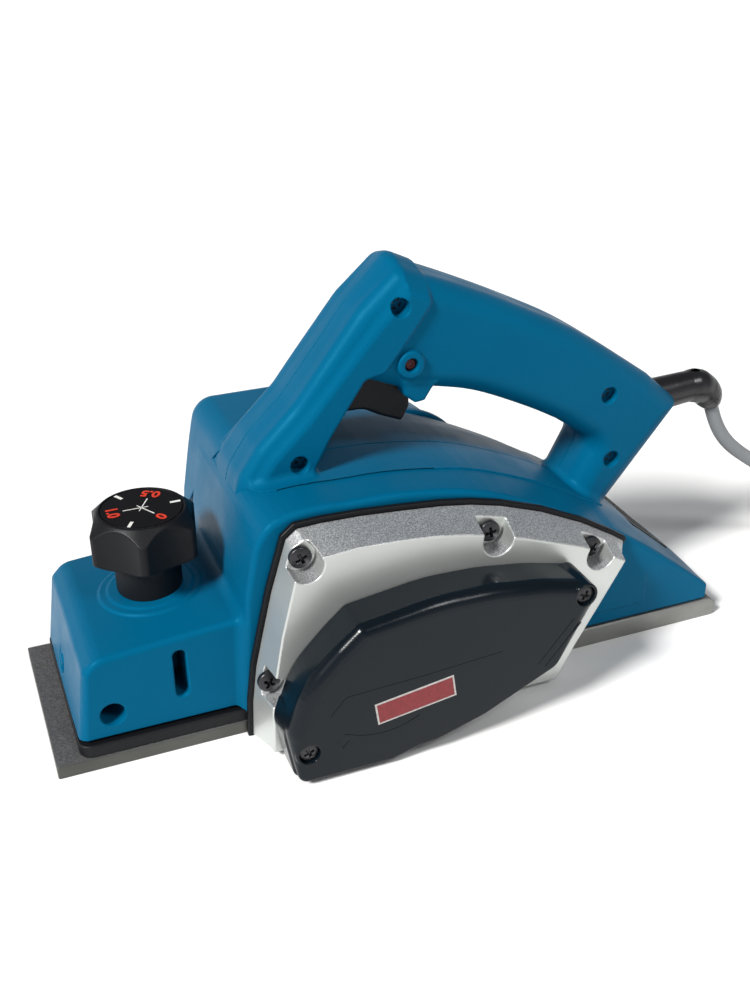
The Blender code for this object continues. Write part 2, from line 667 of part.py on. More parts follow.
# ---------------------------------------------------------------- motor
def make_motor(steel, core, copper, plastic):
    origin = (MOTOR_X, 0, MOTOR_Z)
    shaft = [(5, -70), (5, 77.3)]
    new_object("armature_shaft", turned_y(MOTOR_X, MOTOR_Z, shaft, 16), steel, origin)
    new_object("armature_core", ring_y(MOTOR_X, MOTOR_Z, 5.3, 17, -24, 14, 24), core, origin)
    new_object("commutator", ring_y(MOTOR_X, MOTOR_Z, 5.3, 10, -44, -30, 20), copper, origin)
    fan = ring_y(MOTOR_X, MOTOR_Z, 5.3, 9, 20, 34, 20)
    fan = new_object("cooling_fan", fan, plastic, origin)
    join(fan, ring_y(MOTOR_X, MOTOR_Z, 8, 28, 31, 33, 28))
    for step in range(8):
        angle = 2 * math.pi * step / 8
        vane = block((8, 22, -0.9), (27, 32, 0.9))
        turn = Matrix.Translation(origin) @ Matrix.Rotation(angle, 4, "Y")
        bmesh.ops.transform(vane, matrix=turn, verts=vane.verts)
        join(fan, vane)
    stator = ring_y(MOTOR_X, MOTOR_Z, 18.2, 32.5, -24, 14, 32)
    new_object("stator", stator, core, origin)


def make_brushes(paint, carbon):
    """Two brush holders, in front of and behind the commutator, each with its carbon brush."""
    for side, place in ((1, "front"), (-1, "rear")):
        low, high = sorted((MOTOR_X + side * 11, MOTOR_X + side * 26.5))
        holder = new_object("brush_holder_" + place,
                            block((low, -42, MOTOR_Z - 5), (high, -32, MOTOR_Z + 5)), paint)
        cut(holder, block((low - 1, -40, MOTOR_Z - 3), (high + 1, -34, MOTOR_Z + 3)))
        low, high = sorted((MOTOR_X + side * 10.4, MOTOR_X + side * 22))
        new_object("carbon_brush_" + place,
                   block((low, -39.6, MOTOR_Z - 2.6), (high, -34.4, MOTOR_Z + 2.6)), carbon)


# ---------------------------------------------------------------- handle
def make_handle_half(name, paint, side):
    y_seam, y_grip = side * GAP / 2, side * GRIP_HALF_WIDTH
    outline = rounded(HANDLE_OUTLINE)
    inset = shrunk(outline, 2.6)
    levels = [along_y(outline, y_seam), along_y(outline, y_grip - side * 4.5),
              along_y(shrunk(outline, 0.8), y_grip - side * 1.5), along_y(inset, y_grip)]
    half = new_object(name, loft(levels), paint)
    column = rounded(COLUMN_OUTLINE)
    y_column = side * COLUMN_HALF_WIDTH
    join(half, loft([along_y(shrunk(column, 0.4), side * 6),
                     along_y(shrunk(column, 0.4), y_column - side * 4),
                     along_y(shrunk(column, 1.2), y_column - side * 1.2),
                     along_y(shrunk(column, 3.4), y_column)]))
    join(half, prism_y(FINGER_STOP, *sorted((side * 9, side * 15.8))))
    if side > 0:
        join(half, rod_y(*LOCK_AXIS, 5.4, 10, 18.4, 16))
    cut(half, prism_y(HANDLE_POCKET, *sorted((side * -1, side * 13))))
    trigger_slot = [(-14, 100), (22, 100), (24.5, 121), (24, 136), (12, 142), (-14, 134)]
    cut(half, prism_y(trigger_slot, *sorted((side * -1, side * 7.6))),
        bent_tube([(-105, 91.5, math.pi, 8.6), (-121.5, 92.6, math.pi, 8.6)], 16),
        bent_tube([(-115, 92.2, math.pi, 7.8), (-150, 94.2, math.pi, 7.8)], 16),
        hump_solid(0.45))
    if side > 0:
        cut(half, rod_y(*LOCK_AXIS, 2.6, 5, 25, 12))
        for x, z in HANDLE_SCREWS:
            cut(half, rod_y(x, z, 3.6, 12, 25, 12), rod_y(x, z, 2.2, -5, 25, 10))
    else:
        for x, z in HANDLE_SCREWS:
            cut(half, rod_y(x, z, 2.2, -12, 5, 10))
    return half


def make_trigger(paint):
    outline = [(-6, 105), (2, 108.5), (9, 112.3), (19.5, 113), (21.5, 121), (20.5, 129),
               (19, 137), (10, 138), (-11.5, 127), (-9.5, 118), (-9.5, 113)]
    x, z = TRIGGER_PIVOT
    trigger = new_object("trigger", prism_y(outline, -7, 7), paint, (x, 0, z))
    cut(trigger, rod_y(x - 2.5, z + 1, 1.6, -10, 10, 10))
    return trigger


def make_lock_button(paint):
    x, z = LOCK_AXIS
    return new_object("lock_button", rod_y(x, z, 2.3, 9.2, 17.0, 12), paint, (x, 9.2, z))


def make_switch(paint):
    """Switch block inside the grip, turned to lie along it."""
    mesh = block((-17, -9, -8), (17, 9, 8))
    turn = Matrix.Translation((-36, 0, 133)) @ Matrix.Rotation(math.radians(-24), 4, "Y")
    bmesh.ops.transform(mesh, matrix=turn, verts=mesh.verts)
    return new_object("switch_body", mesh, paint, (-36, 0, 133))


def make_guard(paint):
    """Rubber cord guard that leaves the handle's rear end and turns down at its tip."""
    stations = [(-116, 92.1, 180, 8.2), (-120.6, 92.4, 180, 8.2), (-120.8, 92.4, 180, 7.4),
                (-130, 93.2, 178, 7.4), (-142, 94.2, 180, 7.0), (-149, 94.3, 190, 6.8),
                (-154, 92.6, 212, 6.8), (-157.2, 89.3, 232, 6.6), (-158.6, 87.3, 240, 5.6)]
    stations = [(x, z, math.radians(angle), radius) for x, z, angle, radius in stations]
    return new_object("cord_guard", bent_tube(stations), paint, (-120.8, 0, 92.4))


def make_cord_clamp(paint):
    """Bar across the cord inside the handle, ahead of the guard."""
    return new_object("cord_clamp", block((-112, -11, 95), (-106, 11, 99)), paint)


# ---------------------------------------------------------------- cord and plug
LEAD_ROUTE = [(-158.9, 0, 86.6), (-161.2, 0, 80.6), (-164.0, 0, 74.4), (-167.6, 0, 68.4),
              (-172.4, 0, 62.6), (-178.4, 0, 57.2), (-185.4, 0, 52.0), (-193.0, 0, 46.6),
              (-200.8, 0, 40.4), (-208.6, 0, 33.4), (-216.6, 0, 26.0), (-225.0, 0, 18.9),
              (-234.2, 0, 12.6), (-244.2, 0, 7.8), (-248.4, 0, 6.3)]
TAIL_ROUTE = [(-251.0, 87.15, 9.9), (-244.0, 88.6, 10.6), (-238.0, 89.6, 11.6), (-232.0, 90.5, 12.7),
              (-227.2, 90.9, 13.2)]


def make_cords(paint):
    tube("cord_lead", paint, smooth_route(LEAD_ROUTE, CORD_RADIUS * 4.4), CORD_RADIUS)
    tube("cord_tail", paint, smooth_route(TAIL_ROUTE, CORD_RADIUS * 3), CORD_RADIUS)
    inner, outer = COIL_RADII
    mesh = bmesh.new()
    rings = []
    for index in range(32):
        angle = 2 * math.pi * index / 32
        rings.append([mesh.verts.new((COIL_CENTRE[0] + radius * math.cos(angle),
                                      COIL_CENTRE[1] + radius * math.sin(angle), z))
                      for radius, z in ((inner, 0.1), (outer, 0.1), (outer, COIL_HEIGHT),
                                        (inner, COIL_HEIGHT))])
    rings.append(rings[0])
    for low, high in zip(rings, rings[1:]):
        for index in range(4):
            after = (index + 1) % 4
            mesh.faces.new((low[index], low[after], high[after], high[index]))
    new_object("cord_coil", mesh, paint, (*COIL_CENTRE, 0))


def make_plug(paint):
    """Two-pin mains plug that lies beside the coil, with its strain relief towards it."""
    sections = []
    for x, half_y, half_z in ((-226, 5, 5), (-213, 6.5, 6.5), (-206, 15, 10.5),
                              (-186, 17.8, 13.0), (-184.5, 17.0, 12.2)):
        corner = min(half_y, half_z) * 0.6
        ring = rounded([(PLUG_Y - half_y, PLUG_Z - half_z, corner),
                        (PLUG_Y + half_y, PLUG_Z - half_z, corner),
                        (PLUG_Y + half_y, PLUG_Z + half_z, corner),
                        (PLUG_Y - half_y, PLUG_Z + half_z, corner)])
        sections.append([(x, y, z) for y, z in ring])
    plug = new_object("plug_body", loft(sections), paint)
    join(plug, *[rod_x(y, PLUG_Z, 2.4, -192, -166, 12) for y in (PLUG_Y - 9.5, PLUG_Y + 9.5)])
    return plug


# ---------------------------------------------------------------- fasteners
def make_screw_y(name, paint, x, z, y_head, head_radius, head_height, length, segments=12):
    """Pan-head screw along Y whose head top is at y_head and whose tip points to -Y."""
    profile = [(head_radius * 0.55, y_head), (head_radius, y_head - head_height * 0.5),
               (head_radius, y_head - head_height), (1.6, y_head - head_height),
               (1.6, y_head - length)]
    return new_object(name, turned_y(x, z, profile, segments), paint, (x, y_head, z))


def make_screws(paint):
    for number, (x, z) in enumerate(COVER_SCREWS, 1):
        make_screw_y("cover_screw_%d" % number, paint, x, z, 53.6, 4.4, 3.2, 12.0)
    for number, (x, z) in enumerate(BELT_SCREWS, 1):
        make_screw_y("belt_cover_screw_%d" % number, paint, x, z, 79.2, 3.2, 2.4, 18)
    for number, (x, z) in enumerate(HANDLE_SCREWS, 1):
        make_screw_y("handle_screw_%d" % number, paint, x, z, 14.4, 3.2, 2.0, 22)
    for number, (x, y) in enumerate(BASE_SCREWS, 1):
        mesh = loft([[(px, py, z) for px, py in circle((x, y), radius, 12)]
                     for radius, z in ((4.2, 0.6), (4.2, 2.9), (2.0, 2.9), (2.0, 11.8))])
        new_object("base_screw_%d" % number, mesh, paint, (x, y, 0.6))


def main():
    clear_scene()
    blue = material("housing_blue", BLUE, 0.42)
    black = material("black_plastic", BLACK, 0.4)
    gloss = material("belt_cover_black", (0.016, 0.02, 0.026), 0.25)
    rubber = material("rubber", (0.01, 0.01, 0.011), 0.6)
    cast = material("cast_aluminium", (0.5, 0.52, 0.51), 0.45, 0.9)
    sole = material("sole_aluminium", (0.42, 0.41, 0.38), 0.5, 0.9)
    steel = material("steel", STEEL, 0.3, 1.0)
    dark_steel = material("blackened_steel", (0.03, 0.03, 0.032), 0.35, 0.8)
    copper = material("copper", (0.6, 0.25, 0.12), 0.35, 1.0)
    core = material("laminations", (0.2, 0.2, 0.21), 0.5, 0.8)
    carbon = material("carbon", (0.02, 0.02, 0.02), 0.8)
    red = material("red_plastic", (0.25, 0.02, 0.015), 0.45)
    grey = material("cord_grey", (0.05, 0.055, 0.06), 0.55)

    make_main_housing(blue)
    make_chip_chute(blue)
    make_motor_end_cover(blue)
    make_vent_grille(black)
    make_gasket(black)
    make_bearing_cover(cast)
    make_belt_cover(gloss)
    make_rear_base(sole)
    make_front_base(sole)
    make_front_skirt(black)
    make_depth_stud(steel)
    make_depth_knob(black)
    make_dial_plate(black)
    helix("depth_spring", steel, (KNOB_X, 0, 16), (0, 0, 1), 6.6, 0.8, 26.5, 6)
    make_drum(dark_steel)
    make_blades(steel, dark_steel)
    make_drum_end_plate(cast)
    make_bearing("drum_bearing_left", steel, DRUM_X, DRUM_Z, 46.4, 55.2)
    make_bearing("drum_bearing_right", steel, DRUM_X, DRUM_Z, -55.4, -46.4)
    make_bearing("motor_bearing_left", steel, MOTOR_X, MOTOR_Z, 46.4, 55.2)
    make_bearing("motor_bearing_right", steel, MOTOR_X, MOTOR_Z, -68, -61)
    make_pulley("drum_pulley", steel, DRUM_X, DRUM_Z, DRUM_PULLEY_RADIUS)
    make_pulley("motor_pulley", steel, MOTOR_X, MOTOR_Z, MOTOR_PULLEY_RADIUS)
    make_belt(rubber)
    make_motor(steel, core, copper, black)
    make_brushes(copper, carbon)
    make_handle_half("handle_left", blue, 1)
    make_handle_half("handle_right", blue, -1)
    make_trigger(black)
    helix("trigger_spring", steel, (2, 0, 135.5), (0, 0, 1), 2.6, 0.4, 14, 5)
    make_lock_button(red)
    make_switch(black)
    make_guard(rubber)
    make_cord_clamp(black)
    make_cords(grey)
    make_plug(rubber)
    make_screws(dark_steel)


main()
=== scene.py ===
"""Looks of the electric hand planer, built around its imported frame.

Shapes are signed distance fields in millimetres, in the frame's own axes: +X is the planing
direction, +Y the belt side and +Z up. Each field is turned into a mesh by surface nets, and
its vertices are then moved onto the field's exact surface, which also gives their normals.
"""

import math

import bmesh
import bpy
import numpy as np
from mathutils import Matrix, Vector


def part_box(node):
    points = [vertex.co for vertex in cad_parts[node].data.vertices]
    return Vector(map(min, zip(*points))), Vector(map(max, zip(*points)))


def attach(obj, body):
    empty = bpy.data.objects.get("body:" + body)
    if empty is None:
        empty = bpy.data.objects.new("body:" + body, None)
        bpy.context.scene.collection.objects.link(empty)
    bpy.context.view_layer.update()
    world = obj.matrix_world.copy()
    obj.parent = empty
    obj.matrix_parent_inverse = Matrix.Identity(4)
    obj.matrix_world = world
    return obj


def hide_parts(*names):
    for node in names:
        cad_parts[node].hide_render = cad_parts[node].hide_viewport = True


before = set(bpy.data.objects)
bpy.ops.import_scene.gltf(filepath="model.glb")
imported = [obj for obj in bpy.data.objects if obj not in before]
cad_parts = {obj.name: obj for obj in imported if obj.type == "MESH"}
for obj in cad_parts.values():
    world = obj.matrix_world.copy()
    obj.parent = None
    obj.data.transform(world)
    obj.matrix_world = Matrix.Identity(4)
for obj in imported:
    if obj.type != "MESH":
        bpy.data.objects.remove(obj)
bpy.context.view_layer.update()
MM = 0.001
COARSE = 1.0


# ---- where the frame's nodes are
def node_box(name):
    """Lowest and highest corner of a node, in millimetres."""
    low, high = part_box(name)
    return Vector(low) / MM, Vector(high) / MM


def node_centre(name):
    low, high = node_box(name)
    return (low + high) / 2


# ---- camera, floor and light
CAMERA_PLACE = (0.160, 0.3989, 0.3025)
CAMERA_YAW, CAMERA_PITCH, CAMERA_ROLL = map(math.radians, (-111.61, -28.65, -0.35))
CAMERA_LENS = 42.87
FLOOR_HALF = 6.0


def make_camera():
    data = bpy.data.cameras.new("camera")
    data.lens = CAMERA_LENS
    camera = new_object("camera", data)
    camera.location = CAMERA_PLACE
    upright = Matrix.Rotation(CAMERA_YAW - math.pi / 2, 4, "Z") @ Matrix.Rotation(
        math.pi / 2 + CAMERA_PITCH, 4, "X")
    camera.rotation_euler = (upright @ Matrix.Rotation(CAMERA_ROLL, 4, "Z")).to_euler()
    bpy.context.scene.camera = camera


def make_sun(name, azimuth, elevation, strength, softness, colour):
    data = bpy.data.lights.new(name, "SUN")
    data.energy = strength
    data.angle = math.radians(softness)
    data.color = colour
    sun = new_object(name, data)
    azimuth, elevation = math.radians(azimuth), math.radians(elevation)
    towards = Vector((math.cos(azimuth) * math.cos(elevation),
                      math.sin(azimuth) * math.cos(elevation), math.sin(elevation)))
    sun.rotation_euler = towards.to_track_quat("Z", "Y").to_euler()


def make_stage():
    mesh = bpy.data.meshes.new("floor")
    mesh.from_pydata([(-FLOOR_HALF, -FLOOR_HALF, 0), (FLOOR_HALF, -FLOOR_HALF, 0),
                      (FLOOR_HALF, FLOOR_HALF, 0), (-FLOOR_HALF, FLOOR_HALF, 0)],
                     [], [(0, 1, 2, 3)])
    mesh.materials.append(new_material("floor_paper", (0.88, 0.88, 0.88), 0.9, specular=0.1)[0])
    new_object("floor", mesh)
    world = bpy.data.worlds.new("studio")
    bpy.context.scene.world = world
    world.use_nodes = True
    sky = world.node_tree
    sky.nodes["Background"].inputs["Color"].default_value = (0.95, 0.97, 1.0, 1)
    place = sky.nodes.new("ShaderNodeTexCoord")
    height = sky.nodes.new("ShaderNodeSeparateXYZ")
    sky.links.new(place.outputs["Generated"], height.inputs["Vector"])
    sky.links.new(ramp(sky, height.outputs["Z"], 0.70, 0.12, 0.10, 0.55),
                  sky.nodes["Background"].inputs["Strength"])
    make_sun("key", 24, 43, 4.7, 13, (1.0, 0.99, 0.97))
    make_sun("rim", 118, 50, 0.8, 14, (1.0, 1.0, 1.0))
    bpy.context.scene.view_settings.view_transform = "Standard"


# ---- distance fields
def rounded(corners, steps=6):
    """Outline through (a, b, radius) corners, each one turned into an arc."""
    outline = []
    for index, (a, b, radius) in enumerate(corners):
        here = Vector((a, b))
        if radius == 0:
            outline.append((a, b))
            continue
        before = (Vector(corners[index - 1][:2]) - here).normalized()
        after = (Vector(corners[(index + 1) % len(corners)][:2]) - here).normalized()
        half = before.angle(after) / 2
        centre = here + (before + after).normalized() * radius / math.sin(half)
        first = here + before * radius / math.tan(half) - centre
        last = here + after * radius / math.tan(half) - centre
        start = math.atan2(first.y, first.x)
        sweep = (math.atan2(last.y, last.x) - start + math.pi) % (2 * math.pi) - math.pi
        for step in range(steps + 1):
            angle = start + sweep * step / steps
            outline.append((centre.x + radius * math.cos(angle),
                            centre.y + radius * math.sin(angle)))
    return outline


def smooth(points, steps=6, closed=False):
    """Catmull-Rom curve through the points."""
    points = [Vector(point) for point in points]
    if closed:
        around = [points[-1]] + points + points[:2]
    else:
        around = [2 * points[0] - points[1]] + points + [2 * points[-1] - points[-2]]
    curve = []
    for before, start, end, after in zip(around, around[1:], around[2:], around[3:]):
        for step in range(steps):
            t = step / steps
            curve.append(tuple(0.5 * (2 * start + (end - before) * t
                                      + (2 * before - 5 * start + 4 * end - after) * t * t
                                      + (3 * start - before - 3 * end + after) * t ** 3)))
    if not closed:
        curve.append(tuple(points[-1]))
    return curve


def line(points, a, b):
    """Distance to an open line in a plane."""
    best = np.float32(np.inf)
    for (a0, b0), (a1, b1) in zip(points, points[1:]):
        da, db = a1 - a0, b1 - b0
        t = np.clip(((a - a0) * da + (b - b0) * db) / (da * da + db * db), 0, 1)
        best = np.minimum(best, (a - a0 - t * da) ** 2 + (b - b0 - t * db) ** 2)
    return np.sqrt(best)


def polygon(points, a, b):
    """Signed distance to a closed outline in a plane, negative inside."""
    inside = np.zeros(np.broadcast(a, b).shape, bool)
    for (a0, b0), (a1, b1) in zip(points, points[1:] + points[:1]):
        if b0 != b1:
            inside ^= ((b0 > b) != (b1 > b)) & (a < (a1 - a0) * (b - b0) / (b1 - b0) + a0)
    return np.where(inside, -1, 1) * line(points + points[:1], a, b)


def common(first, second, radius=0.0):
    """Where both solids are, with the new edge rounded."""
    if np.all(radius == 0):
        return np.maximum(first, second)
    corner = np.hypot(np.maximum(first + radius, 0), np.maximum(second + radius, 0))
    return np.minimum(-radius, np.maximum(first, second)) + corner


def cut(first, second, radius=0.0):
    """The first solid without the second, with the new edge rounded."""
    return common(first, -second, radius)


def join(first, second, radius=0.0):
    """Both solids, with the new inner corner filled."""
    return -common(-first, -second, radius)


def slab(value, low, high):
    return np.maximum(low - value, value - high)


def block(x, y, z, low, high, radius=0.0):
    """Box between two corners, with round edges."""
    return common(common(slab(x, low[0], high[0]), slab(y, low[1], high[1]), radius),
                  slab(z, low[2], high[2]), radius)


def disc(a, b, centre, radius):
    return np.hypot(a - centre[0], b - centre[1]) - radius


def along_rows(rows, value):
    """Straight-line value from (place, value) rows, by place."""
    return np.interp(value, [row[0] for row in rows], [row[1] for row in rows])


def capsule(x, y, z, start, end, radius, end_radius=None):
    """Round bar between two points, tapering if it has an end radius."""
    start, end = Vector(start), Vector(end)
    along = end - start
    t = ((x - start.x) * along.x + (y - start.y) * along.y + (z - start.z) * along.z)
    t = np.clip(t / along.length_squared, 0, 1)
    away = np.sqrt((x - start.x - t * along.x) ** 2 + (y - start.y - t * along.y) ** 2
                   + (z - start.z - t * along.z) ** 2)
    return away - (radius + ((end_radius or radius) - radius) * t)


# ---- from field to mesh
def surface_nets(field, low, high, step):
    """Vertices and quads of a field's surface on a regular grid."""
    x, y, z = [np.arange(a - 2 * step, b + 2.5 * step, step, dtype=np.float32)
               for a, b in zip(low, high)]
    shape = (len(x), len(y), len(z))
    value = np.broadcast_to(field(x[:, None, None], y[None, :, None], z[None, None, :]), shape)
    value = value.astype(np.float32)
    inside = value < 0
    count = np.zeros([n - 1 for n in shape], np.int8)
    corners = [(i, j, k) for i in (0, 1) for j in (0, 1) for k in (0, 1)]
    for i, j, k in corners:
        count += inside[i:shape[0] - 1 + i, j:shape[1] - 1 + j, k:shape[2] - 1 + k]
    mixed = (count > 0) & (count < 8)
    cells = np.stack(np.nonzero(mixed), 1)
    number = np.full(count.shape, -1, np.int32)
    number[mixed] = np.arange(len(cells))
    at = {c: value[cells[:, 0] + c[0], cells[:, 1] + c[1], cells[:, 2] + c[2]] for c in corners}
    total, hits = np.zeros((len(cells), 3)), np.zeros(len(cells))
    for axis in range(3):
        for c in corners:
            if c[axis]:
                continue
            other = tuple(v + (n == axis) for n, v in enumerate(c))
            first, second = at[c], at[other]
            crosses = (first < 0) != (second < 0)
            t = np.where(crosses, first / np.where(crosses, first - second, 1), 0)
            point = np.tile(np.array(c, float), (len(cells), 1))
            point[:, axis] += t
            total += point * crosses[:, None]
            hits += crosses
    places = np.array([x[0], y[0], z[0]]) + (cells + total / hits[:, None]) * step
    quads = []
    for axis in range(3):
        ahead = [slice(1, None)] * 3
        ahead[axis] = slice(None)
        core = inside[tuple(ahead)]
        one = np.take(core, range(core.shape[axis] - 1), axis)
        two = np.take(core, range(1, core.shape[axis]), axis)
        edge = np.stack(np.nonzero(one != two), 1)
        flip = one[tuple(edge.T)]
        edge = edge + 1
        edge[:, axis] -= 1
        u, v = (axis + 1) % 3, (axis + 2) % 3
        ring = []
        for du, dv in ((1, 1), (0, 1), (0, 0), (1, 0)):
            cell = edge.copy()
            cell[:, u] -= du
            cell[:, v] -= dv
            ring.append(cell)
        keep = np.all([(c >= 0).all(1) & (c < count.shape).all(1) for c in ring], 0)
        quad = np.stack([number[tuple(c[keep].T)] for c in ring], 1)
        flip = flip[keep]
        quad[~flip] = quad[~flip][:, ::-1]
        quads.append(quad)
    return places, np.concatenate(quads)


def gradient(field, points, reach, value):
    """The field's slope at each point, by differences over a short reach."""
    x, y, z = points.T
    return np.stack([field(x + reach, y, z) - value, field(x, y + reach, z) - value,
                     field(x, y, z + reach) - value], 1) / reach


def settled(field, points, step, rounds=2):
    """The points moved onto the field's surface, none by more than a grid step."""
    start = points
    for _ in range(rounds):
        value = field(*points.T)
        slope = gradient(field, points, step * 0.1, value)
        size = np.maximum((slope ** 2).sum(1), 0.2)
        points = points - slope * (value / size)[:, None]
        moved = points - start
        far = np.maximum(np.linalg.norm(moved, axis=1), 1e-9)
        points = start + moved * np.minimum(1, step / far)[:, None]
    return points


def new_mesh(name, places, quads):
    mesh = bpy.data.meshes.new(name)
    mesh.vertices.add(len(places))
    mesh.vertices.foreach_set("co", places.astype(np.float32).ravel())
    mesh.loops.add(quads.size)
    mesh.loops.foreach_set("vertex_index", quads.astype(np.int32).ravel())
    mesh.polygons.add(len(quads))
    starts = np.arange(0, quads.size, quads.shape[1], dtype=np.int32)
    mesh.polygons.foreach_set("loop_start", starts)
    mesh.update(calc_edges=True)
    return mesh


def new_object(name, data):
    piece = bpy.data.objects.new(name, data)
    bpy.context.scene.collection.objects.link(piece)
    return piece


def solid(name, field, low, high, step, keep=0.4):
    """Piece with a field's surface. keep is the share of triangles left after thinning."""
    step *= COARSE
    places, quads = surface_nets(field, low, high, step)
    places = settled(field, places.astype(np.float32), step)
    piece = new_object(name, new_mesh(name, places, quads))
    thin = piece.modifiers.new("thin", "DECIMATE")
    thin.ratio = keep
    bpy.context.view_layer.update()
    shown = piece.evaluated_get(bpy.context.evaluated_depsgraph_get())
    mesh = bpy.data.meshes.new_from_object(shown)
    piece.modifiers.clear()
    dense = piece.data
    piece.data = mesh
    bpy.data.meshes.remove(dense)
    mesh.name = name
    places = np.empty(len(mesh.vertices) * 3, np.float32)
    mesh.vertices.foreach_get("co", places)
    places = settled(field, places.reshape(-1, 3), step * 0.5, 1)
    slope = gradient(field, places, step * 0.1, field(*places.T))
    slope /= np.maximum(np.linalg.norm(slope, axis=1), 1e-9)[:, None]
    mesh.vertices.foreach_set("co", (places * MM).astype(np.float32).ravel())
    mesh.shade_smooth()
    mesh.normals_split_custom_set_from_vertices(slope.tolist())
    mesh.update()
    return piece


# ---- materials
def new_material(name, colour, roughness, metallic=0.0, specular=0.5):
    """A material, its node tree and its shader."""
    paint = bpy.data.materials.new(name)
    paint.use_nodes = True
    shader = paint.node_tree.nodes["Principled BSDF"]
    shader.inputs["Base Color"].default_value = (*colour, 1)
    shader.inputs["Roughness"].default_value = roughness
    shader.inputs["Metallic"].default_value = metallic
    shader.inputs["Specular IOR Level"].default_value = specular
    return paint, paint.node_tree, shader


def noise(tree, scale, detail=3.0, stretch=None):
    """Noise in the frame's own metres, from 0 to 1."""
    place = tree.nodes.new("ShaderNodeTexCoord")
    texture = tree.nodes.new("ShaderNodeTexNoise")
    texture.inputs["Scale"].default_value = scale
    texture.inputs["Detail"].default_value = detail
    source = place.outputs["Object"]
    if stretch:
        mapping = tree.nodes.new("ShaderNodeMapping")
        mapping.inputs["Scale"].default_value = stretch
        tree.links.new(source, mapping.inputs["Vector"])
        source = mapping.outputs["Vector"]
    tree.links.new(source, texture.inputs["Vector"])
    return texture.outputs["Fac"]


def ramp(tree, source, low, high, start=0.0, end=1.0):
    """The source value taken from start..end to low..high."""
    change = tree.nodes.new("ShaderNodeMapRange")
    change.inputs["From Min"].default_value = start
    change.inputs["From Max"].default_value = end
    change.inputs["To Min"].default_value = low
    change.inputs["To Max"].default_value = high
    tree.links.new(source, change.inputs["Value"])
    return change.outputs["Result"]


def tint(tree, source, low, high):
    """Colour between two colours, plain or from other nodes, by a value from 0 to 1."""
    mix = tree.nodes.new("ShaderNodeMix")
    mix.data_type = "RGBA"
    for colour, name in ((low, "A"), (high, "B")):
        if isinstance(colour, tuple):
            mix.inputs[name].default_value = (*colour, 1)
        else:
            tree.links.new(colour, mix.inputs[name])
    tree.links.new(source, mix.inputs["Factor"])
    return mix.outputs["Result"]


def scaled(colour, share):
    return tuple(part * share for part in colour)


def facing(tree, axis, start, end):
    """0 to 1 as the surface turns towards an axis, from the cosine start to the cosine end."""
    place = tree.nodes.new("ShaderNodeTexCoord")
    split = tree.nodes.new("ShaderNodeSeparateXYZ")
    tree.links.new(place.outputs["Normal"], split.inputs["Vector"])
    return ramp(tree, split.outputs[axis], 0, 1, start, end)


def mixed(tree, share, low, high):
    """One value mixed into another by a share from 0 to 1."""
    mix = tree.nodes.new("ShaderNodeMix")
    for value, name in ((low, "A"), (high, "B"), (share, "Factor")):
        if isinstance(value, float):
            mix.inputs[name].default_value = value
        else:
            tree.links.new(value, mix.inputs[name])
    return mix.outputs["Result"]


def bump(tree, source, depth):
    """Bump of that depth in metres."""
    node = tree.nodes.new("ShaderNodeBump")
    node.inputs["Strength"].default_value = 1.0
    node.inputs["Distance"].default_value = depth
    tree.links.new(source, node.inputs["Height"])
    return node.outputs["Normal"]


def moulded(name, colour, light, roughness, grain=0.00004, grain_scale=1400, specular=0.25,
            gleam=None):
    """Moulded plastic: fine grain, faint clouding and uneven gloss."""
    paint, tree, shader = new_material(name, colour, roughness, specular=specular)
    if gleam:
        shader.inputs["Specular Tint"].default_value = (*gleam, 1)
    clouds = ramp(tree, noise(tree, 22, 2), 0.0, 0.35, 0.3, 0.7)
    tree.links.new(tint(tree, clouds, colour, light), shader.inputs["Base Color"])
    tree.links.new(ramp(tree, noise(tree, 60, 3), roughness - 0.05, roughness + 0.06, 0.3, 0.7),
                   shader.inputs["Roughness"])
    tree.links.new(bump(tree, noise(tree, grain_scale, 2), grain), shader.inputs["Normal"])
    return paint


# ---- measures taken from the frame
SIDE = node_box("main_housing")[1].y                     # half width of the housing
REAR = node_box("main_housing")[0].x
BODY_FOOT = node_box("main_housing")[0].z
GASKET_LOW, GASKET_HIGH = (corner.y for corner in node_box("side_gasket"))
COVER_LOW, COVER_HIGH = (corner.y for corner in node_box("bearing_cover"))
BELT_LOW, BELT_HIGH = (corner.y for corner in node_box("belt_cover"))
DRUM = node_centre("cutter_drum")
DRUM_END = max(node_box(name)[1].y
               for name in ("cutter_drum", "planer_blade_1", "blade_clamp_1"))
MOTOR = node_centre("armature_core")
KNOB = node_centre("depth_knob")
KNOB_FOOT, KNOB_TOP = (corner.z for corner in node_box("depth_knob"))
BOX_FOOT = node_box("front_skirt")[1].z + 1.3            # the front box clears the lifted skirt
GRIP_HALF = 16.5
COLUMN_HALF = node_box("handle_left")[1].y

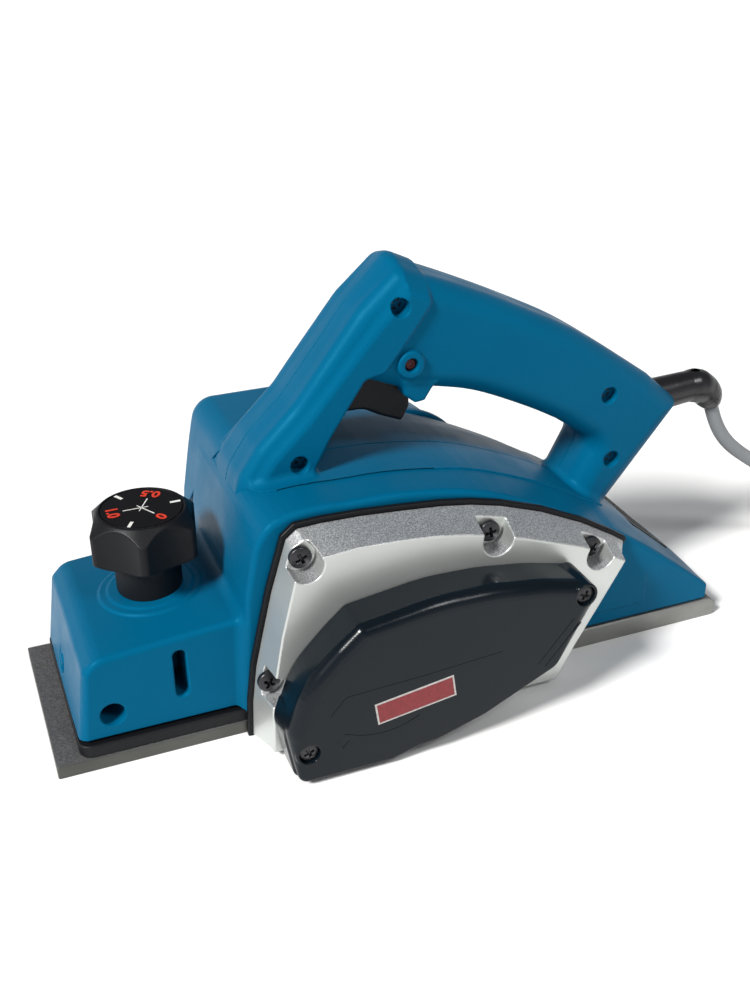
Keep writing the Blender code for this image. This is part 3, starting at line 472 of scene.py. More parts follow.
# Top of the housing from the front wall to the rear foot: x, z at the side, z in the middle.
HUMP = [(66.4, 75, 79), (64.0, 83, 89.5), (58.2, 90, 94), (49, 93, 94.8), (38, 93.6, 94.9),
        (28, 93, 94.5), (8, 92.5, 94),
        (-13, 89.5, 91.5), (-31, 84.5, 87.5), (-52, 75, 79.5), (-71, 65, 70.5),
        (-84, 57, 62.5), (-93, 52.5, 57.5), (-114, 37.5, 41.5), (-138.4, 18, 20)]
FRONT_WALL = [(72.5, BODY_FOOT), (71.6, 30), (69.4, 60)]
COVER_SCREWS = ["cover_screw_%d" % n for n in (1, 2, 3, 4)]
BELT_SCREWS = ["belt_cover_screw_%d" % n for n in (1, 2)]
HANDLE_SCREWS = ["handle_screw_%d" % n for n in (1, 2, 3, 4)]
SCREW_PLACES = [node_centre(name) for name in COVER_SCREWS]
COVER_BASE = [(71, 0.8), (70.2, 16.6), (68.1, 32.6), (64.6, 47.7), (60.6, 64.4), (55.7, 80.4),
              (54.3, 85.1), (50, 88.7), (40.5, 89.1), (25, 88.7), (9.1, 87.5), (-7.3, 86),
              (-19.9, 84), (-32.8, 80.8), (-50.7, 74.4), (-69.5, 65.4), (-84.3, 56.5),
              (-90.5, 52.3), (-80, 34), (-68, 13), (-61, 0.8)]
COVER_RIM = [(67, 3), (66.6, 27.9), (62, 53.6), (55.3, 79.5), (53, 82.3), (46.7, 83.9),
             (31.6, 85.2), (16.2, 84.6), (0.4, 83.2), (-11.8, 80.9), (-24.3, 77.7), (-37.2, 73.5),
             (-60.9, 64.6), (-70.8, 59.6), (-81.5, 53.4), (-71.4, 35.5), (-61.4, 18), (-54, 3)]
BELT_EDGE = [(63.5, 2.6, 4), (67.3, 24, 14), (61.2, 42.5, 40), (47.5, 56.8, 20), (38.8, 64.6, 6),
             (8, 69.0, 90), (-14, 68.4, 90), (-35, 65.4, 90), (-53.5, 60.8, 4), (-60, 55, 3.5),
             (-41, 26.6, 8), (-11, 12.2, 30), (8.5, 6.2, 8), (17, 5.4, 5), (27, 2.4, 8)]
BELT_SCREW_PLACES = [node_centre(name) for name in BELT_SCREWS]


def hump_profile(column):
    top = smooth([(row[0], row[column]) for row in HUMP], 3)
    return FRONT_WALL + top + [(REAR, 16.5), (REAR, BODY_FOOT)]


def hump(x, y, z):
    """The housing's long body, crowned across its width."""
    side, middle = hump_profile(1), hump_profile(2)
    share = np.minimum((y / SIDE) ** 2, 1.0) * np.where(y > 0, 1.0, np.clip((58 - x) / 30, 0, 1))
    return polygon(middle, x, z) * (1 - share) + polygon(side, x, z) * share


TOP_START, TOP_HEIGHT, TOP_FALL = 84, 50.5, 0.07         # the front box's top falls towards +X
BOX_PROFILE = rounded([(136.2, BOX_FOOT - 4, 0), (131.0, 42.4, 3.5), (125.5, 47.3, 9),
                       (TOP_START, TOP_HEIGHT, 0), (40, 53.5, 0), (40, BOX_FOOT - 4, 0)])
BOX_HALF = 38.7


def front_box(x, y, z):
    """Box under the depth knob: a leaning front face, and a top that falls towards it."""
    crown = 1.3 * np.minimum(np.abs(y) / SIDE, 1) ** 2.4
    side = np.abs(y) - BOX_HALF + (z - BOX_FOOT) * 0.035
    edge = 2.0 + 2.0 * np.clip((x - 127) / 6, 0, 1)
    body = common(polygon(BOX_PROFILE, x, z + crown), side, edge)
    return common(body, np.maximum(BOX_FOOT - z, 55 - x), 0)


SLOPE_FOOT, SLOPE_HEAD = Vector((-138.4, 20)), Vector((-93, 57.5))


def slope_depth(x, z):
    """Depth below the straight rear slope, and the distance along it from its foot."""
    along = (SLOPE_HEAD - SLOPE_FOOT).normalized()
    return ((x - SLOPE_FOOT.x) * -along.y + (z - SLOPE_FOOT.y) * along.x,
            (x - SLOPE_FOOT.x) * along.x + (z - SLOPE_FOOT.y) * along.y)


VENT_ENDS = [corner.y for corner in node_box("vent_grille")]
REAR_PANEL = rounded([(-106.5, 16, 1.5), (-50, 16, 0), (-50, 120, 0), (-106.5, 120, 0)])
KNOB_STEPS = [(20.4, 0.55), (17.0, 1.1)]                 # radius and height of the knob's two rings
SLOT = rounded([(92.8, 22.4, 2.4), (97.8, 22.4, 2.4), (97.8, 42.9, 2.4), (92.8, 42.9, 2.4)])
SIDE_HOLE, SIDE_HOLE_RADIUS = (122, 21.7), 4.7
BOWL, BOWL_RADIUS, BOSS_RADIUS = Vector((-5, 21)), 5.6, 2.6   # y, z of the dimple in the front face
DRUM_ROOM = 27


def main_housing(x, y, z):
    """Hump and front box in one, with their openings, and hollow round the drum."""
    body = common(hump(x, y, z), np.abs(y) - SIDE, 2.2)
    sunk = 0.7 * np.clip((34 - z) / 12, 0, 1)
    lowered = common(common(-polygon(REAR_PANEL, x, z), x + 55), SIDE - sunk - np.abs(y))
    body = cut(body, lowered, 0.3)
    shell = join(body, front_box(x, y, z), 4.0)
    around = np.hypot(x - KNOB.x, y)
    rise = np.maximum(x - TOP_START, 0) * TOP_FALL - TOP_HEIGHT + z
    for radius, height in KNOB_STEPS:
        shell = join(shell, common(around - radius, common(rise - height, 44 - z), 1.0), 0.6)
    shell = cut(shell, common(polygon(SLOT, x, z), 20 - y), 0.6)
    shell = cut(shell, common(disc(x, z, SIDE_HOLE, SIDE_HOLE_RADIUS), 12 - y), 0.5)
    bowl = np.hypot(y - BOWL.x, z - BOWL.y)
    shell = cut(shell, common(bowl - BOWL_RADIUS, 133.6 - x), 0.8)
    shell = join(shell, common(bowl - BOSS_RADIUS, slab(x, 120, 134.5), 0.6), 0.6)
    depth, along = slope_depth(x, z)
    vent = common(common(slab(along, 10.5, 37), -2.6 - depth), slab(y, *VENT_ENDS))
    shell = cut(shell, vent, 0.5)
    hollow = common(disc(x, z, (DRUM.x, DRUM.z), DRUM_ROOM), slab(y, -50, DRUM_END + 0.8))
    mouth = block(x, y, z, (13, -50, -5), (62, SIDE - 1.5, 22))
    outlet = block(x, y, z, (23, -60, 38), (58, 14, 86))
    return cut(shell, join(join(hollow, mouth), outlet), 0.5)


CHUTE_WALL = [(40, 71.1), (60, 69.4), (80, 66.0), (90, 64.0), (101, 61.4), (110, 60)]   # z, x
CHUTE_SEAM = [(46, -57), (61, -43), (74, -34), (86, -23), (95, -14), (101, -8), (110, -6)]   # z, y


def chip_chute(x, y, z):
    """Chute on the right shoulder, its front flush with the front wall."""
    body = common(common(x - along_rows(CHUTE_WALL, z), 16 - x), z - 101.2, 8.0)
    body = common(common(body, -62 - y, 9.0), 47 - z, 1.0)
    body = common(body, np.maximum((y - along_rows(CHUTE_SEAM, z) + 0.35) * 0.7, y + 5), 0.5)
    body = cut(body, common(hump(x, y, z) + 4.0, -(y + SIDE)), 0)
    outlet = block(x, y, z, (20, -75, 56), (61.5, -30, 92), 2.5)
    return cut(body, outlet, 0.8)


VENT_FIELD, VENT_PITCH = 27, 6


def motor_end_cover(x, y, z):
    """Round cap on the right, with seven cooling slots in its end."""
    out = -y
    around = np.hypot(x - MOTOR.x, z - MOTOR.z)
    body = common(common(around - (33.5 + (62 - out) * 0.09), out - 76, 6.5), SIDE + 0.2 - out, 0)
    flange = common(around - 37, slab(out, SIDE + 0.2, 45.2), 1.0)
    body = join(body, flange, 2.0)
    for step in range(7):
        height = MOTOR.z + VENT_PITCH * (step - 3)
        half = math.sqrt(VENT_FIELD ** 2 - (height - MOTOR.z) ** 2) - 4
        body = cut(body, common(common(np.abs(x - MOTOR.x) - half, np.abs(z - height) - 1.3, 1.2),
                                72 - out), 0.4)
    return body


LOUVRES, VENT_FRAME = 11, 3


def vent_grille(x, y, z):
    """Louvred insert at the foot of the rear slope."""
    depth, along = slope_depth(x, z)
    low, high = VENT_ENDS
    body = common(common(slab(along, 10.9, 36.6), slab(depth, -2.5, 0.5), 0.4),
                  slab(y, low + 0.3, high - 0.3), 0.6)
    pitch = (high - low - 2 * VENT_FRAME) / LOUVRES
    for step in range(LOUVRES):
        middle = low + VENT_FRAME + pitch * (step + 0.5)
        gap = common(np.abs(y - middle) - pitch * 0.3, slab(along, 14, 33.5), 0.6)
        body = cut(body, common(gap, -1.6 - depth), 0.25)
    return body


GASKET_EDGE = 1.7                                        # how far it shows round the cover


def side_gasket(x, y, z):
    return common(polygon(COVER_BASE, x, z) - GASKET_EDGE, slab(y, GASKET_LOW, GASKET_HIGH), 0.6)


def cover_walls(x, y, z):
    """Side wall of the bearing cover, which leans inwards towards its rim."""
    share = np.clip((y - COVER_LOW) / (COVER_HIGH - COVER_LOW), 0, 1)
    base = polygon(COVER_BASE, x, z)
    rim = polygon(COVER_RIM, x, z)
    return base * (1 - share) + rim * share


POCKET_WAYS = [(0.72, 0.69), (1.0, -0.05), (-0.22, 0.97), (-0.44, 0.9)]
POCKET_FLOOR, POCKET_RADIUS = 50.0, 6.3


def pocket(x, z, place, way):
    """U-shaped outline round a screw, open towards the cover's edge."""
    ahead = (x - place.x) * way[0] + (z - place.z) * way[1]
    aside = np.abs((x - place.x) * -way[1] + (z - place.z) * way[0])
    return np.where(ahead < 0, np.hypot(ahead, aside), aside - 0.10 * ahead) - POCKET_RADIUS


def bearing_cover(x, y, z):
    """Die-cast side cover with a pocket round each screw and room for the drum's bearing."""
    body = common(cover_walls(x, y, z), slab(y, COVER_LOW, COVER_HIGH), 0.6)
    for place, way in zip(SCREW_PLACES, POCKET_WAYS):
        hole = common(pocket(x, z, place, way), POCKET_FLOOR - y, 0.8)
        body = cut(body, hole, 0.5)
    return cut(body, common(disc(x, z, (DRUM.x, DRUM.z), 9), 52 - y), 0)


def belt_cover(x, y, z):
    """Belt cover: a round shoulder along its top, a lip at its foot and two screw bosses."""
    outline = polygon(rounded(BELT_EDGE), x, z)
    lean = (BELT_HIGH - y) * 0.08
    shoulder = 1.2 + 4.6 * np.clip((z - 18 + np.clip(x, -60, 60) * 0.25) / 18, 0, 1)
    body = common(outline + lean, y - BELT_HIGH, shoulder)
    body = common(body, BELT_LOW - y, 0.3)
    lip = common(common(polygon(rounded(BELT_EDGE), x, z + 2.2), slab(z, 0, 30)),
                 slab(y, BELT_LOW, 74), 1.0)
    body = join(body, lip, 0.4)
    for place in BELT_SCREW_PLACES:
        body = join(body, common(disc(x, z, (place.x, place.z), 5.2), slab(y, 62, 79.6), 0.6), 0.4)
        body = cut(body, common(disc(x, z, (place.x, place.z), 4.0), 77.2 - y), 0.4)
    return body


# ---- shoes
def rear_base(x, y, z):
    low, high = node_box("rear_base")
    body = common(common(slab(x, low.x, 80), z - high.z, 0.5), np.abs(y) - high.y, 0.6)
    body = common(body, -z, 0.4)
    body = common(body, (low.x + 1.5 - x - z) * 0.707, 0.3)
    body = common(body, (low.x + 2.6 - x + z - high.z) * 0.707, 0.3)
    body = cut(body, disc(x, z, (DRUM.x, DRUM.z), 25.6), 0.2)
    body = common(body, x - DRUM.x, 0)
    for name in ("base_screw_1", "base_screw_2"):
        place = node_centre(name)
        body = cut(body, common(disc(x, y, (place.x, place.y), 4.8), z - 3.2), 0.3)
    return body


SHOE_TOP = 5.7


def front_base(x, y, z):
    high = node_box("front_base")[1]
    body = common(common(slab(x, -80, high.x), slab(z, 0, SHOE_TOP), 0.4), np.abs(y) - high.y, 0.6)
    body = cut(body, disc(x, z, (DRUM.x, DRUM.z), 25.9), 0.2)
    return common(body, DRUM.x - x, 0)


def front_skirt(x, y, z):
    low, high = node_box("front_skirt")
    outline = rounded([(low.x, low.y, 1), (high.x, low.y, 5),
                       (high.x, high.y, 5), (low.x, high.y, 1)])
    return common(polygon(outline, x, y), slab(z, low.z - 0.2, high.z), 0.7)


# ---- knob
LOBE_ANGLE = math.radians(78)
HEAD_RADIUS, HEAD_FOOT, NECK_RADIUS = 22.3, 65.6, 12.8
FLANK_RADIUS, FLANK_AWAY = 27.5, 45.4                    # the cylinders that hollow the six flanks


def depth_knob(x, y, z):
    """Six-lobed knob, bevelled above and below, on a round neck; the dial sits in its top."""
    around = np.hypot(x - KNOB.x, y)
    head = around - HEAD_RADIUS
    for step in range(6):
        angle = LOBE_ANGLE + math.radians(30 + 60 * step)
        centre = (KNOB.x + FLANK_AWAY * math.cos(angle), FLANK_AWAY * math.sin(angle))
        head = cut(head, disc(x, y, centre, FLANK_RADIUS), 0.9)
    head = common(head, slab(z, HEAD_FOOT, KNOB_TOP), 0.8)
    head = common(head, (z - KNOB_TOP + (around - 16.6) * 0.95) * 0.72, 0.35)
    head = common(head, (HEAD_FOOT - z + (around - 18.8) * 0.5) * 0.89, 0.35)
    neck = common(around - NECK_RADIUS, slab(z, KNOB_FOOT, 70), 0.6)
    knob = join(head, neck, 0.8)
    return cut(knob, common(around - 15.9, KNOB_TOP - 0.55 - z), 0.2)


# ---- handle
def bare(points):
    """Outline corners with no radius."""
    return [(a, b, 0) for a, b in points]


SPINE = [(66, 80, 0), (62, 96, 12), (54.5, 107, 14), (39.6, 121.5, 28), (13.5, 155, 25)]
GRIP_TOP = [(-12, 165.6), (-25, 160.5), (-42, 153), (-60, 144.4), (-79, 134.5), (-99, 121.6),
            (-118, 108.4)]
UNDERSIDE = [(-75.5, 95), (-63, 102), (-44.5, 111), (-32, 115.8), (-16, 119.8), (-4, 121.6)]
GRIP = rounded(SPINE + [(-3, 170, 5)] + bare(smooth(GRIP_TOP, 4)) + [(-134.2, 94, 3.5),
               (-97, 48, 0), (-78, 55, 0), (-92.3, 83, 5.5)] + bare(smooth(UNDERSIDE, 4))
               + [(11, 128, 3), (21, 117, 0), (27, 108, 0), (44, 80, 0)])
COLUMN_FRONT = rounded(SPINE + [(-3, 172.4, 4.5), (-25, 162, 0), (-60, 120, 0), (-60, 80, 0)])
COLUMN_REAR = rounded([(90, 80, 0), (90, 220, 0), (-14, 220, 0), (-14, 155.5, 4.5), (-9, 148.5, 3),
                       (-3, 140.5, 8), (4.5, 131, 4), (12.5, 129.6, 3), (21, 117, 0), (27, 108, 0),
                       (40, 84, 0), (42.5, 80, 0)])
FLANGE_EDGE = [(-92, 20), (-72, 21), (-53, 22), (-34, 23), (-16, 24), (2, 26), (26, 25.5),
               (50, 24.5), (56, 22.5), (58.5, 19)]
NUB = rounded([(-18, 124, 0), (-13, 116.2, 1.2), (-9, 115.8, 1.2), (-4.5, 119.5, 1.5),
               (-3, 126, 0)])
TRIGGER_SLOT = [(-13, 100), (22, 100), (24.2, 121), (24, 136), (12, 142), (-13, 134)]
HANDLE_SCREW_PLACES = [node_centre(name) for name in HANDLE_SCREWS]
LOCK = node_centre("lock_button")
SCREW_HOLE, GUARD_HEIGHT, SEAM_GAP = 3.55, 92.8, 0.06
TRIGGER_EDGE = rounded([(-7, 105, 1.2), (2, 108.8, 12), (9, 112.6, 8), (19.5, 113, 2),
                        (21.5, 121, 0), (20.5, 129, 0), (19, 137, 2), (10, 138, 2),
                        (-11.5, 127, 1), (-10, 118, 1.5), (-10.2, 111, 1.5)])
SPRING_X, SPRING_ROOM = 2, 4.0


def handle(x, y, z, side):
    """One half of the handle; side is +1 for the left half and -1 for the right one."""
    out = y * side
    blend = np.clip((30 - x) / 60, 0, 1)
    body = common(polygon(GRIP, x, z), out - GRIP_HALF + np.clip((-x - 95) / 60, 0, 1),
                  5.5 + 3.5 * blend)
    crown = 6.2 + 2.6 * np.clip((z - 120) / 35, 0, 1)
    crown = crown * np.minimum(np.abs(y) / COLUMN_HALF, 1) ** 2
    crown = crown * np.where(y > 0, 1.0, np.clip((z - 99) / 14, 0, 1))
    column = common(polygon(COLUMN_FRONT, x, z) + crown, out - COLUMN_HALF + 0.3, 2.2)
    column = common(column, polygon(COLUMN_REAR, x, z), 1.6)
    body = join(body, column, 1.2)
    body = join(body, common(polygon(NUB, x, z), slab(out, 6, 15.6), 1.5), 1.5)
    if side > 0:
        ring = common(disc(x, z, (LOCK.x, LOCK.z), 5.5), slab(out, 8, 18.6), 0.9)
        body = join(body, ring, 0.8)
    ground = hump(x, y, z)
    flange = common(common(ground - 0.55, out - along_rows(FLANGE_EDGE, x)),
                    slab(x, -95, 58.5), 0.3)
    body = join(body, flange, 3.2)
    if side > 0:
        body = cut(body, common(disc(x, z, (LOCK.x, LOCK.z), 2.7), 8 - out), 0.5)
        for place in HANDLE_SCREW_PLACES:
            body = cut(body, common(disc(x, z, (place.x, place.z), SCREW_HOLE), 12.5 - out), 0.5)
    body = cut(body, common(polygon(TRIGGER_SLOT, x, z), out - 7.8), 0.6)
    bore = common(np.hypot(y, z - GUARD_HEIGHT) - 8.6, x + 105)
    body = cut(body, bore, 0.6)
    body = cut(body, ground + 3.0, 0)
    return common(body, SEAM_GAP - out, 0.3)


def trigger(x, y, z):
    """Finger lever, with a well for its spring."""
    body = common(polygon(TRIGGER_EDGE, x, z), np.abs(y) - 7.0, 1.6)
    return cut(body, common(np.hypot(x - SPRING_X, y) - SPRING_ROOM, 127.5 - z), 0.3)


def lock_button(x, y, z):
    around = np.hypot(x - LOCK.x, z - LOCK.z)
    low, high = node_box("lock_button")
    body = common(around - (high.x - low.x) / 2, slab(y, low.y, high.y), 0.8)
    return cut(body, common(around - 1.1, high.y - 0.4 - y), 0.2)


# ---- screws and small parts
def screw_head(radius, height, dome):
    """Cross-head screw along +Z, its seat at 0."""
    def field(x, y, z):
        around = np.hypot(x, y)
        head = common(common(around - radius, -z), z - height + dome * (around / radius) ** 2,
                      0.35)
        arm = radius * 0.56
        cross = join(common(np.abs(x) - 0.62, np.abs(y) - arm),
                     common(np.abs(y) - 0.62, np.abs(x) - arm))
        cross = common(cross - (z - height) * 0.12, height * 0.35 - z)
        return cut(head, cross, 0.18)
    return field


def make_screws(kind, names, radius, height, dome, sunk=0.0):
    """One screw head mesh, copied to the outer end of each named CAD screw, along Y."""
    span = radius + 0.5
    first = solid(kind, screw_head(radius, height, dome), (-span, -span, -0.5),
                  (span, span, height + 0.6), radius * 0.05, 0.5)
    shape = first.data
    bpy.data.objects.remove(first)
    for turn, name in enumerate(names):
        low, high = node_box(name)
        centre = (low + high) / 2
        seat = Vector((centre.x, high.y - height - sunk, centre.z))
        mesh = shape.copy()
        mesh.transform(Matrix.Translation(seat * MM) @ Matrix.Rotation(-math.pi / 2, 4, "X")
                       @ Matrix.Rotation(math.radians(25 + 37 * turn), 4, "Z"))
        finish_piece(new_object(name + "_head", mesh), "planer_body", LOOKS["dark_steel"],
                     "dark_steel", name)


def finish_piece(piece, body, look, slot, *nodes):
    """The piece with its look and body, and the nodes that it stands for. The slot argument is not
    used.
    """
    piece.data.materials.clear()
    piece.data.materials.append(look)
    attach(piece, body)
    if nodes:
        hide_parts(*nodes)
    return piece


def bars(name, strips, axis, low, high):
    """Thin raised strips: start, end and half width each, between two levels on an axis."""
    places, faces = [], []
    for start, end, half in strips:
        start, end = Vector(start), Vector(end)
        across = (end - start).normalized().orthogonal() * half
        at = len(places)
        for level in (low, high):
            for corner in (start - across, end - across, end + across, start + across):
                if axis == "Z":
                    places.append((corner.x * MM, corner.y * MM, level * MM))
                else:
                    places.append((corner.x * MM, level * MM, corner.y * MM))
        faces += [(at + 3, at + 2, at + 1, at), (at + 4, at + 5, at + 6, at + 7)]
        faces += [(at + a, at + (a + 1) % 4, at + 4 + (a + 1) % 4, at + 4 + a) for a in range(4)]
    mesh = bpy.data.meshes.new(name)
    mesh.from_pydata(places, [], faces)
    shape = bmesh.new()
    shape.from_mesh(mesh)
    bmesh.ops.recalc_face_normals(shape, faces=shape.faces)
    shape.to_mesh(mesh)
    shape.free()
    return new_object(name, mesh)


def along_line(points, half):
    """Strips end to end along a line of points."""
    return [(a, b, half) for a, b in zip(points, points[1:])]


# ---- cord, coil and plug
CORD_WIDTH = 6.4
LEAD = [(-158.9, 0, 86.6), (-161.2, 0, 80.6), (-164, 0, 74.4), (-167.6, 0, 68.4),
        (-172.4, 0, 62.6), (-178.4, 0, 57.2), (-185.4, 0, 52), (-193, 0, 46.6),
        (-200.8, 0, 40.4), (-208.6, 0, 33.4), (-216.6, 0, 26), (-225, 0, 18.9),
        (-234.2, 0, 12.6), (-244.2, 0, 7.8), (-255, 0.2, 4.6), (-263.5, 0.4, 3.5)]
COIL = Vector((-272.0, 43.0))
TURN_POINTS = 20
TAIL = [(-262, 85.8, 9.5), (-251, 87.15, 9.9), (-244, 88.6, 10.6), (-238, 89.6, 11.6),
        (-232, 90.5, 12.7), (-227.2, 90.9, 13.2)]


def coil_route():
    """Three turns inwards on the floor, three outwards on top of them and half a turn more."""
    stops = [(0.0, 42.4, 3.3), (0.75, 42.4, 3.3), (1.25, 36.0, 3.3), (1.75, 36.0, 3.3),
             (2.25, 29.6, 3.3), (2.85, 29.6, 3.3), (3.15, 29.6, 9.7), (3.75, 29.6, 9.7),
             (4.25, 36.0, 9.7), (4.75, 36.0, 9.7), (5.25, 42.4, 9.7), (6.5, 42.4, 9.7)]
    turns = [stop[0] for stop in stops]
    route = []
    for step in range(int(6.5 * TURN_POINTS) + 1):
        turn = step / TURN_POINTS
        radius = np.interp(turn, turns, [stop[1] for stop in stops])
        height = np.interp(turn, turns, [stop[2] for stop in stops])
        angle = math.radians(-90 - 360 * turn)
        route.append((COIL.x + radius * math.cos(angle), COIL.y + radius * math.sin(angle),
                      height))
    return route


def make_cord():
    route = LEAD + coil_route() + TAIL
    curve = bpy.data.curves.new("power_cord", "CURVE")
    curve.dimensions = "3D"
    curve.bevel_depth = CORD_WIDTH / 2 * MM
    curve.bevel_resolution = 5
    curve.use_fill_caps = True
    spline = curve.splines.new("POLY")
    dense = smooth(route, 3)
    spline.points.add(len(dense) - 1)
    for point, place in zip(spline.points, dense):
        point.co = (*(Vector(place) * MM), 1)
    spline.use_smooth = True
    cord = new_object("power_cord", curve)
    finish_piece(cord, "planer_body", LOOKS["cord_grey"], "cord_grey", "cord_lead", "cord_coil",
                 "cord_tail")


PLUG_LOW, PLUG_HIGH = node_box("plug_body")
PLUG_Z = (PLUG_LOW.z + PLUG_HIGH.z) / 2
PLUG_Y = (PLUG_LOW.y + PLUG_HIGH.y) / 2


def plug_shell(x, y, z):
    """Round rubber plug with a ribbed grip and a tapered neck, its axis along X."""
    around = np.hypot(y - PLUG_Y, z - PLUG_Z)
    width = np.interp(x, [-227, -220, -213, -207, -200, -186, -184.4],
                      [4.8, 6.2, 9.2, 10.6, 12.2, 12.6, 12.2])
    body = common(around - width, slab(x, -226.2, -184.5), 1.2)
    for step in range(5):
        groove = common(np.abs(x + 217.5 - 3.1 * step) - 0.5, 6.1 + step * 1.1 - around)
        body = cut(body, groove, 0.3)
    return common(body, np.abs(y - PLUG_Y) - 13.0, 1.0)


def plug_pins(x, y, z):
    pins = None
    for offset in (-9.5, 9.5):
        pin = capsule(x, y, z, (-190, PLUG_Y + offset, PLUG_Z), (-168.4, PLUG_Y + offset, PLUG_Z),
                      2.4)
        pins = pin if pins is None else join(pins, pin)
    return pins


GUARD = [(-116, 92.1, 8.2), (-120.6, 92.4, 8.2), (-130, 93.2, 7.5), (-142, 94.2, 7.0),
         (-149, 94.3, 6.9), (-154, 92.6, 6.9), (-157.2, 89.3, 6.6), (-158.9, 86.8, 5.4)]


def cord_guard(x, y, z):
    """Tapered rubber strain relief, bent down at its end, with a rim before the bend."""
    body = None
    stations = smooth(GUARD, 3)
    for (x0, z0, r0), (x1, z1, r1) in zip(stations, stations[1:]):
        part = capsule(x, y, z, (x0, 0, z0), (x1, 0, z1), r0, r1)
        body = part if body is None else join(body, part)
    rim = capsule(x, y, z, (-149.5, 0, 94.3), (-151.5, 0, 93.8), 7.5)
    return join(body, rim, 0.6)


# ---- finishes
def metal(name, colour, light, roughness, grain, grain_scale, metallic=0.9, stretch=None):
    """Bare metal: worked grain, faint stains and brighter patches."""
    paint, tree, shader = new_material(name, colour, roughness, metallic)
    stains = noise(tree, 35, 4)
    tree.links.new(tint(tree, ramp(tree, stains, 0, 1, 0.3, 0.7), colour, light),
                   shader.inputs["Base Color"])
    worked = noise(tree, grain_scale, 2, stretch)
    tree.links.new(ramp(tree, worked, roughness - 0.08, roughness + 0.12, 0.3, 0.7),
                   shader.inputs["Roughness"])
    tree.links.new(bump(tree, worked, grain), shader.inputs["Normal"])
    return paint


def cast(name, face, wall, glint_colour):
    """Die casting with satin faces towards +Y and a matt, grainy blast finish on upward walls; the
    light dots on those walls are painted glints of the sun.
    """
    paint, tree, shader = new_material(name, face, 0.34, 0.72)
    flat = ramp(tree, facing(tree, "Z", 0.50, 0.80), 1, 0)
    grit = noise(tree, 2000, 2)
    # Painted glints: light dots mixed into the blast finish, only on upward-facing walls where the
    # sun strikes them.
    painted_glints = ramp(tree, grit, 0, 1, 0.42, 0.60)
    blast_and_glints = tint(tree, painted_glints, wall, glint_colour)
    satin = tint(tree, ramp(tree, noise(tree, 30, 3), 0, 1, 0.3, 0.7), scaled(face, 0.93), face)
    tree.links.new(tint(tree, flat, blast_and_glints, satin), shader.inputs["Base Color"])
    tree.links.new(ramp(tree, flat, 0.50, 0.36), shader.inputs["Roughness"])
    tree.links.new(bump(tree, mixed(tree, flat, grit, 0.5), 0.00010), shader.inputs["Normal"])
    return paint


def shoe_metal(name, side, top):
    """Milled sides and a dark, speckled cast top."""
    paint = metal(name, side, scaled(side, 1.3), 0.42, 0.00003, 900, 0.85, ALONG)
    tree = paint.node_tree
    shader = tree.nodes["Principled BSDF"]
    milled = shader.inputs["Base Color"].links[0].from_socket
    upper = facing(tree, "Z", 0.85, 0.95)
    grit = noise(tree, 1300, 2)
    rough = tint(tree, ramp(tree, grit, 0, 1, 0.40, 0.62), scaled(top, 0.6), top)
    tree.links.new(tint(tree, upper, milled, rough), shader.inputs["Base Color"])
    tree.links.new(ramp(tree, upper, 0.85, 0.35), shader.inputs["Metallic"])
    return paint


ALONG = (0.06, 1, 1)
BLUE = (0.0001, 0.082, 0.168)
BLUE_LIGHT = (0.0004, 0.098, 0.198)
BLACK = (0.004, 0.0043, 0.0055)
BLACK_LIGHT = (0.009, 0.010, 0.012)

LOOKS = {
    "housing_blue": moulded("housing_blue", BLUE, BLUE_LIGHT, 0.42, 0.00006, 900, 0.13,
                            (0.10, 0.65, 1.0)),
    "black_plastic": moulded("black_plastic", BLACK, BLACK_LIGHT, 0.45, specular=0.2),
    "dial_black": moulded("dial_black", (0.003, 0.003, 0.004), (0.006, 0.006, 0.007), 0.40,
                          0.00001, specular=0.08),
    "belt_cover_black": moulded("belt_cover_black", (0.0025, 0.0052, 0.008),
                                (0.005, 0.0085, 0.0125), 0.20, 0.00001, 1800, 0.24),
    "rubber": moulded("rubber", (0.006, 0.006, 0.008), (0.012, 0.012, 0.014), 0.28, 0.00002,
                      700, 0.5),
    # The casting's last colour is the painted glint on its upward walls.
    "cast_aluminium": cast("cast_aluminium", (0.60, 0.62, 0.60), (0.30, 0.31, 0.32),
                           (0.62, 0.63, 0.64)),
    "sole_aluminium": metal("sole_aluminium", (0.20, 0.20, 0.19), (0.28, 0.28, 0.265), 0.42,
                            0.00003, 900, 0.8, ALONG),
    "steel": metal("steel", (0.45, 0.45, 0.46), (0.60, 0.60, 0.61), 0.28, 0.00001, 900),
    "dark_steel": metal("dark_steel", (0.030, 0.030, 0.033), (0.07, 0.07, 0.075), 0.34,
                        0.00001, 1200, 0.85),
    "copper": metal("copper", (0.62, 0.26, 0.12), (0.75, 0.38, 0.20), 0.3, 0.00001, 900),
    "laminations": metal("laminations", (0.24, 0.23, 0.22), (0.36, 0.34, 0.31), 0.4,
                         0.00006, 700, 0.8, (6, 1, 1)),
    "carbon": moulded("carbon", (0.02, 0.02, 0.02), (0.05, 0.05, 0.05), 0.6),
    "red_plastic": moulded("red_plastic", (0.05, 0.004, 0.004), (0.08, 0.010, 0.008), 0.4),
    "cord_grey": moulded("cord_grey", (0.20, 0.21, 0.22), (0.30, 0.31, 0.32), 0.42),
    "front_shoe": shoe_metal("front_shoe", (0.085, 0.085, 0.080), (0.13, 0.13, 0.135)),
}


# ---- dial
def print_ink(name, colour):
    """Printed ink, thinner in places."""
    paint, tree, shader = new_material(name, colour, 0.5)
    worn = ramp(tree, noise(tree, 900, 3), 0.0, 1.0, 0.35, 0.6)
    tree.links.new(tint(tree, worn, scaled(colour, 0.75), colour), shader.inputs["Base Color"])
    return paint


def dial_point(radius, angle):
    return KNOB.x + radius * math.cos(angle), radius * math.sin(angle)


DIAL_RADIUS = 15.5
DIAL_TEXTS = [("1.0", 0), ("0.5", -120), ("0", 120)]
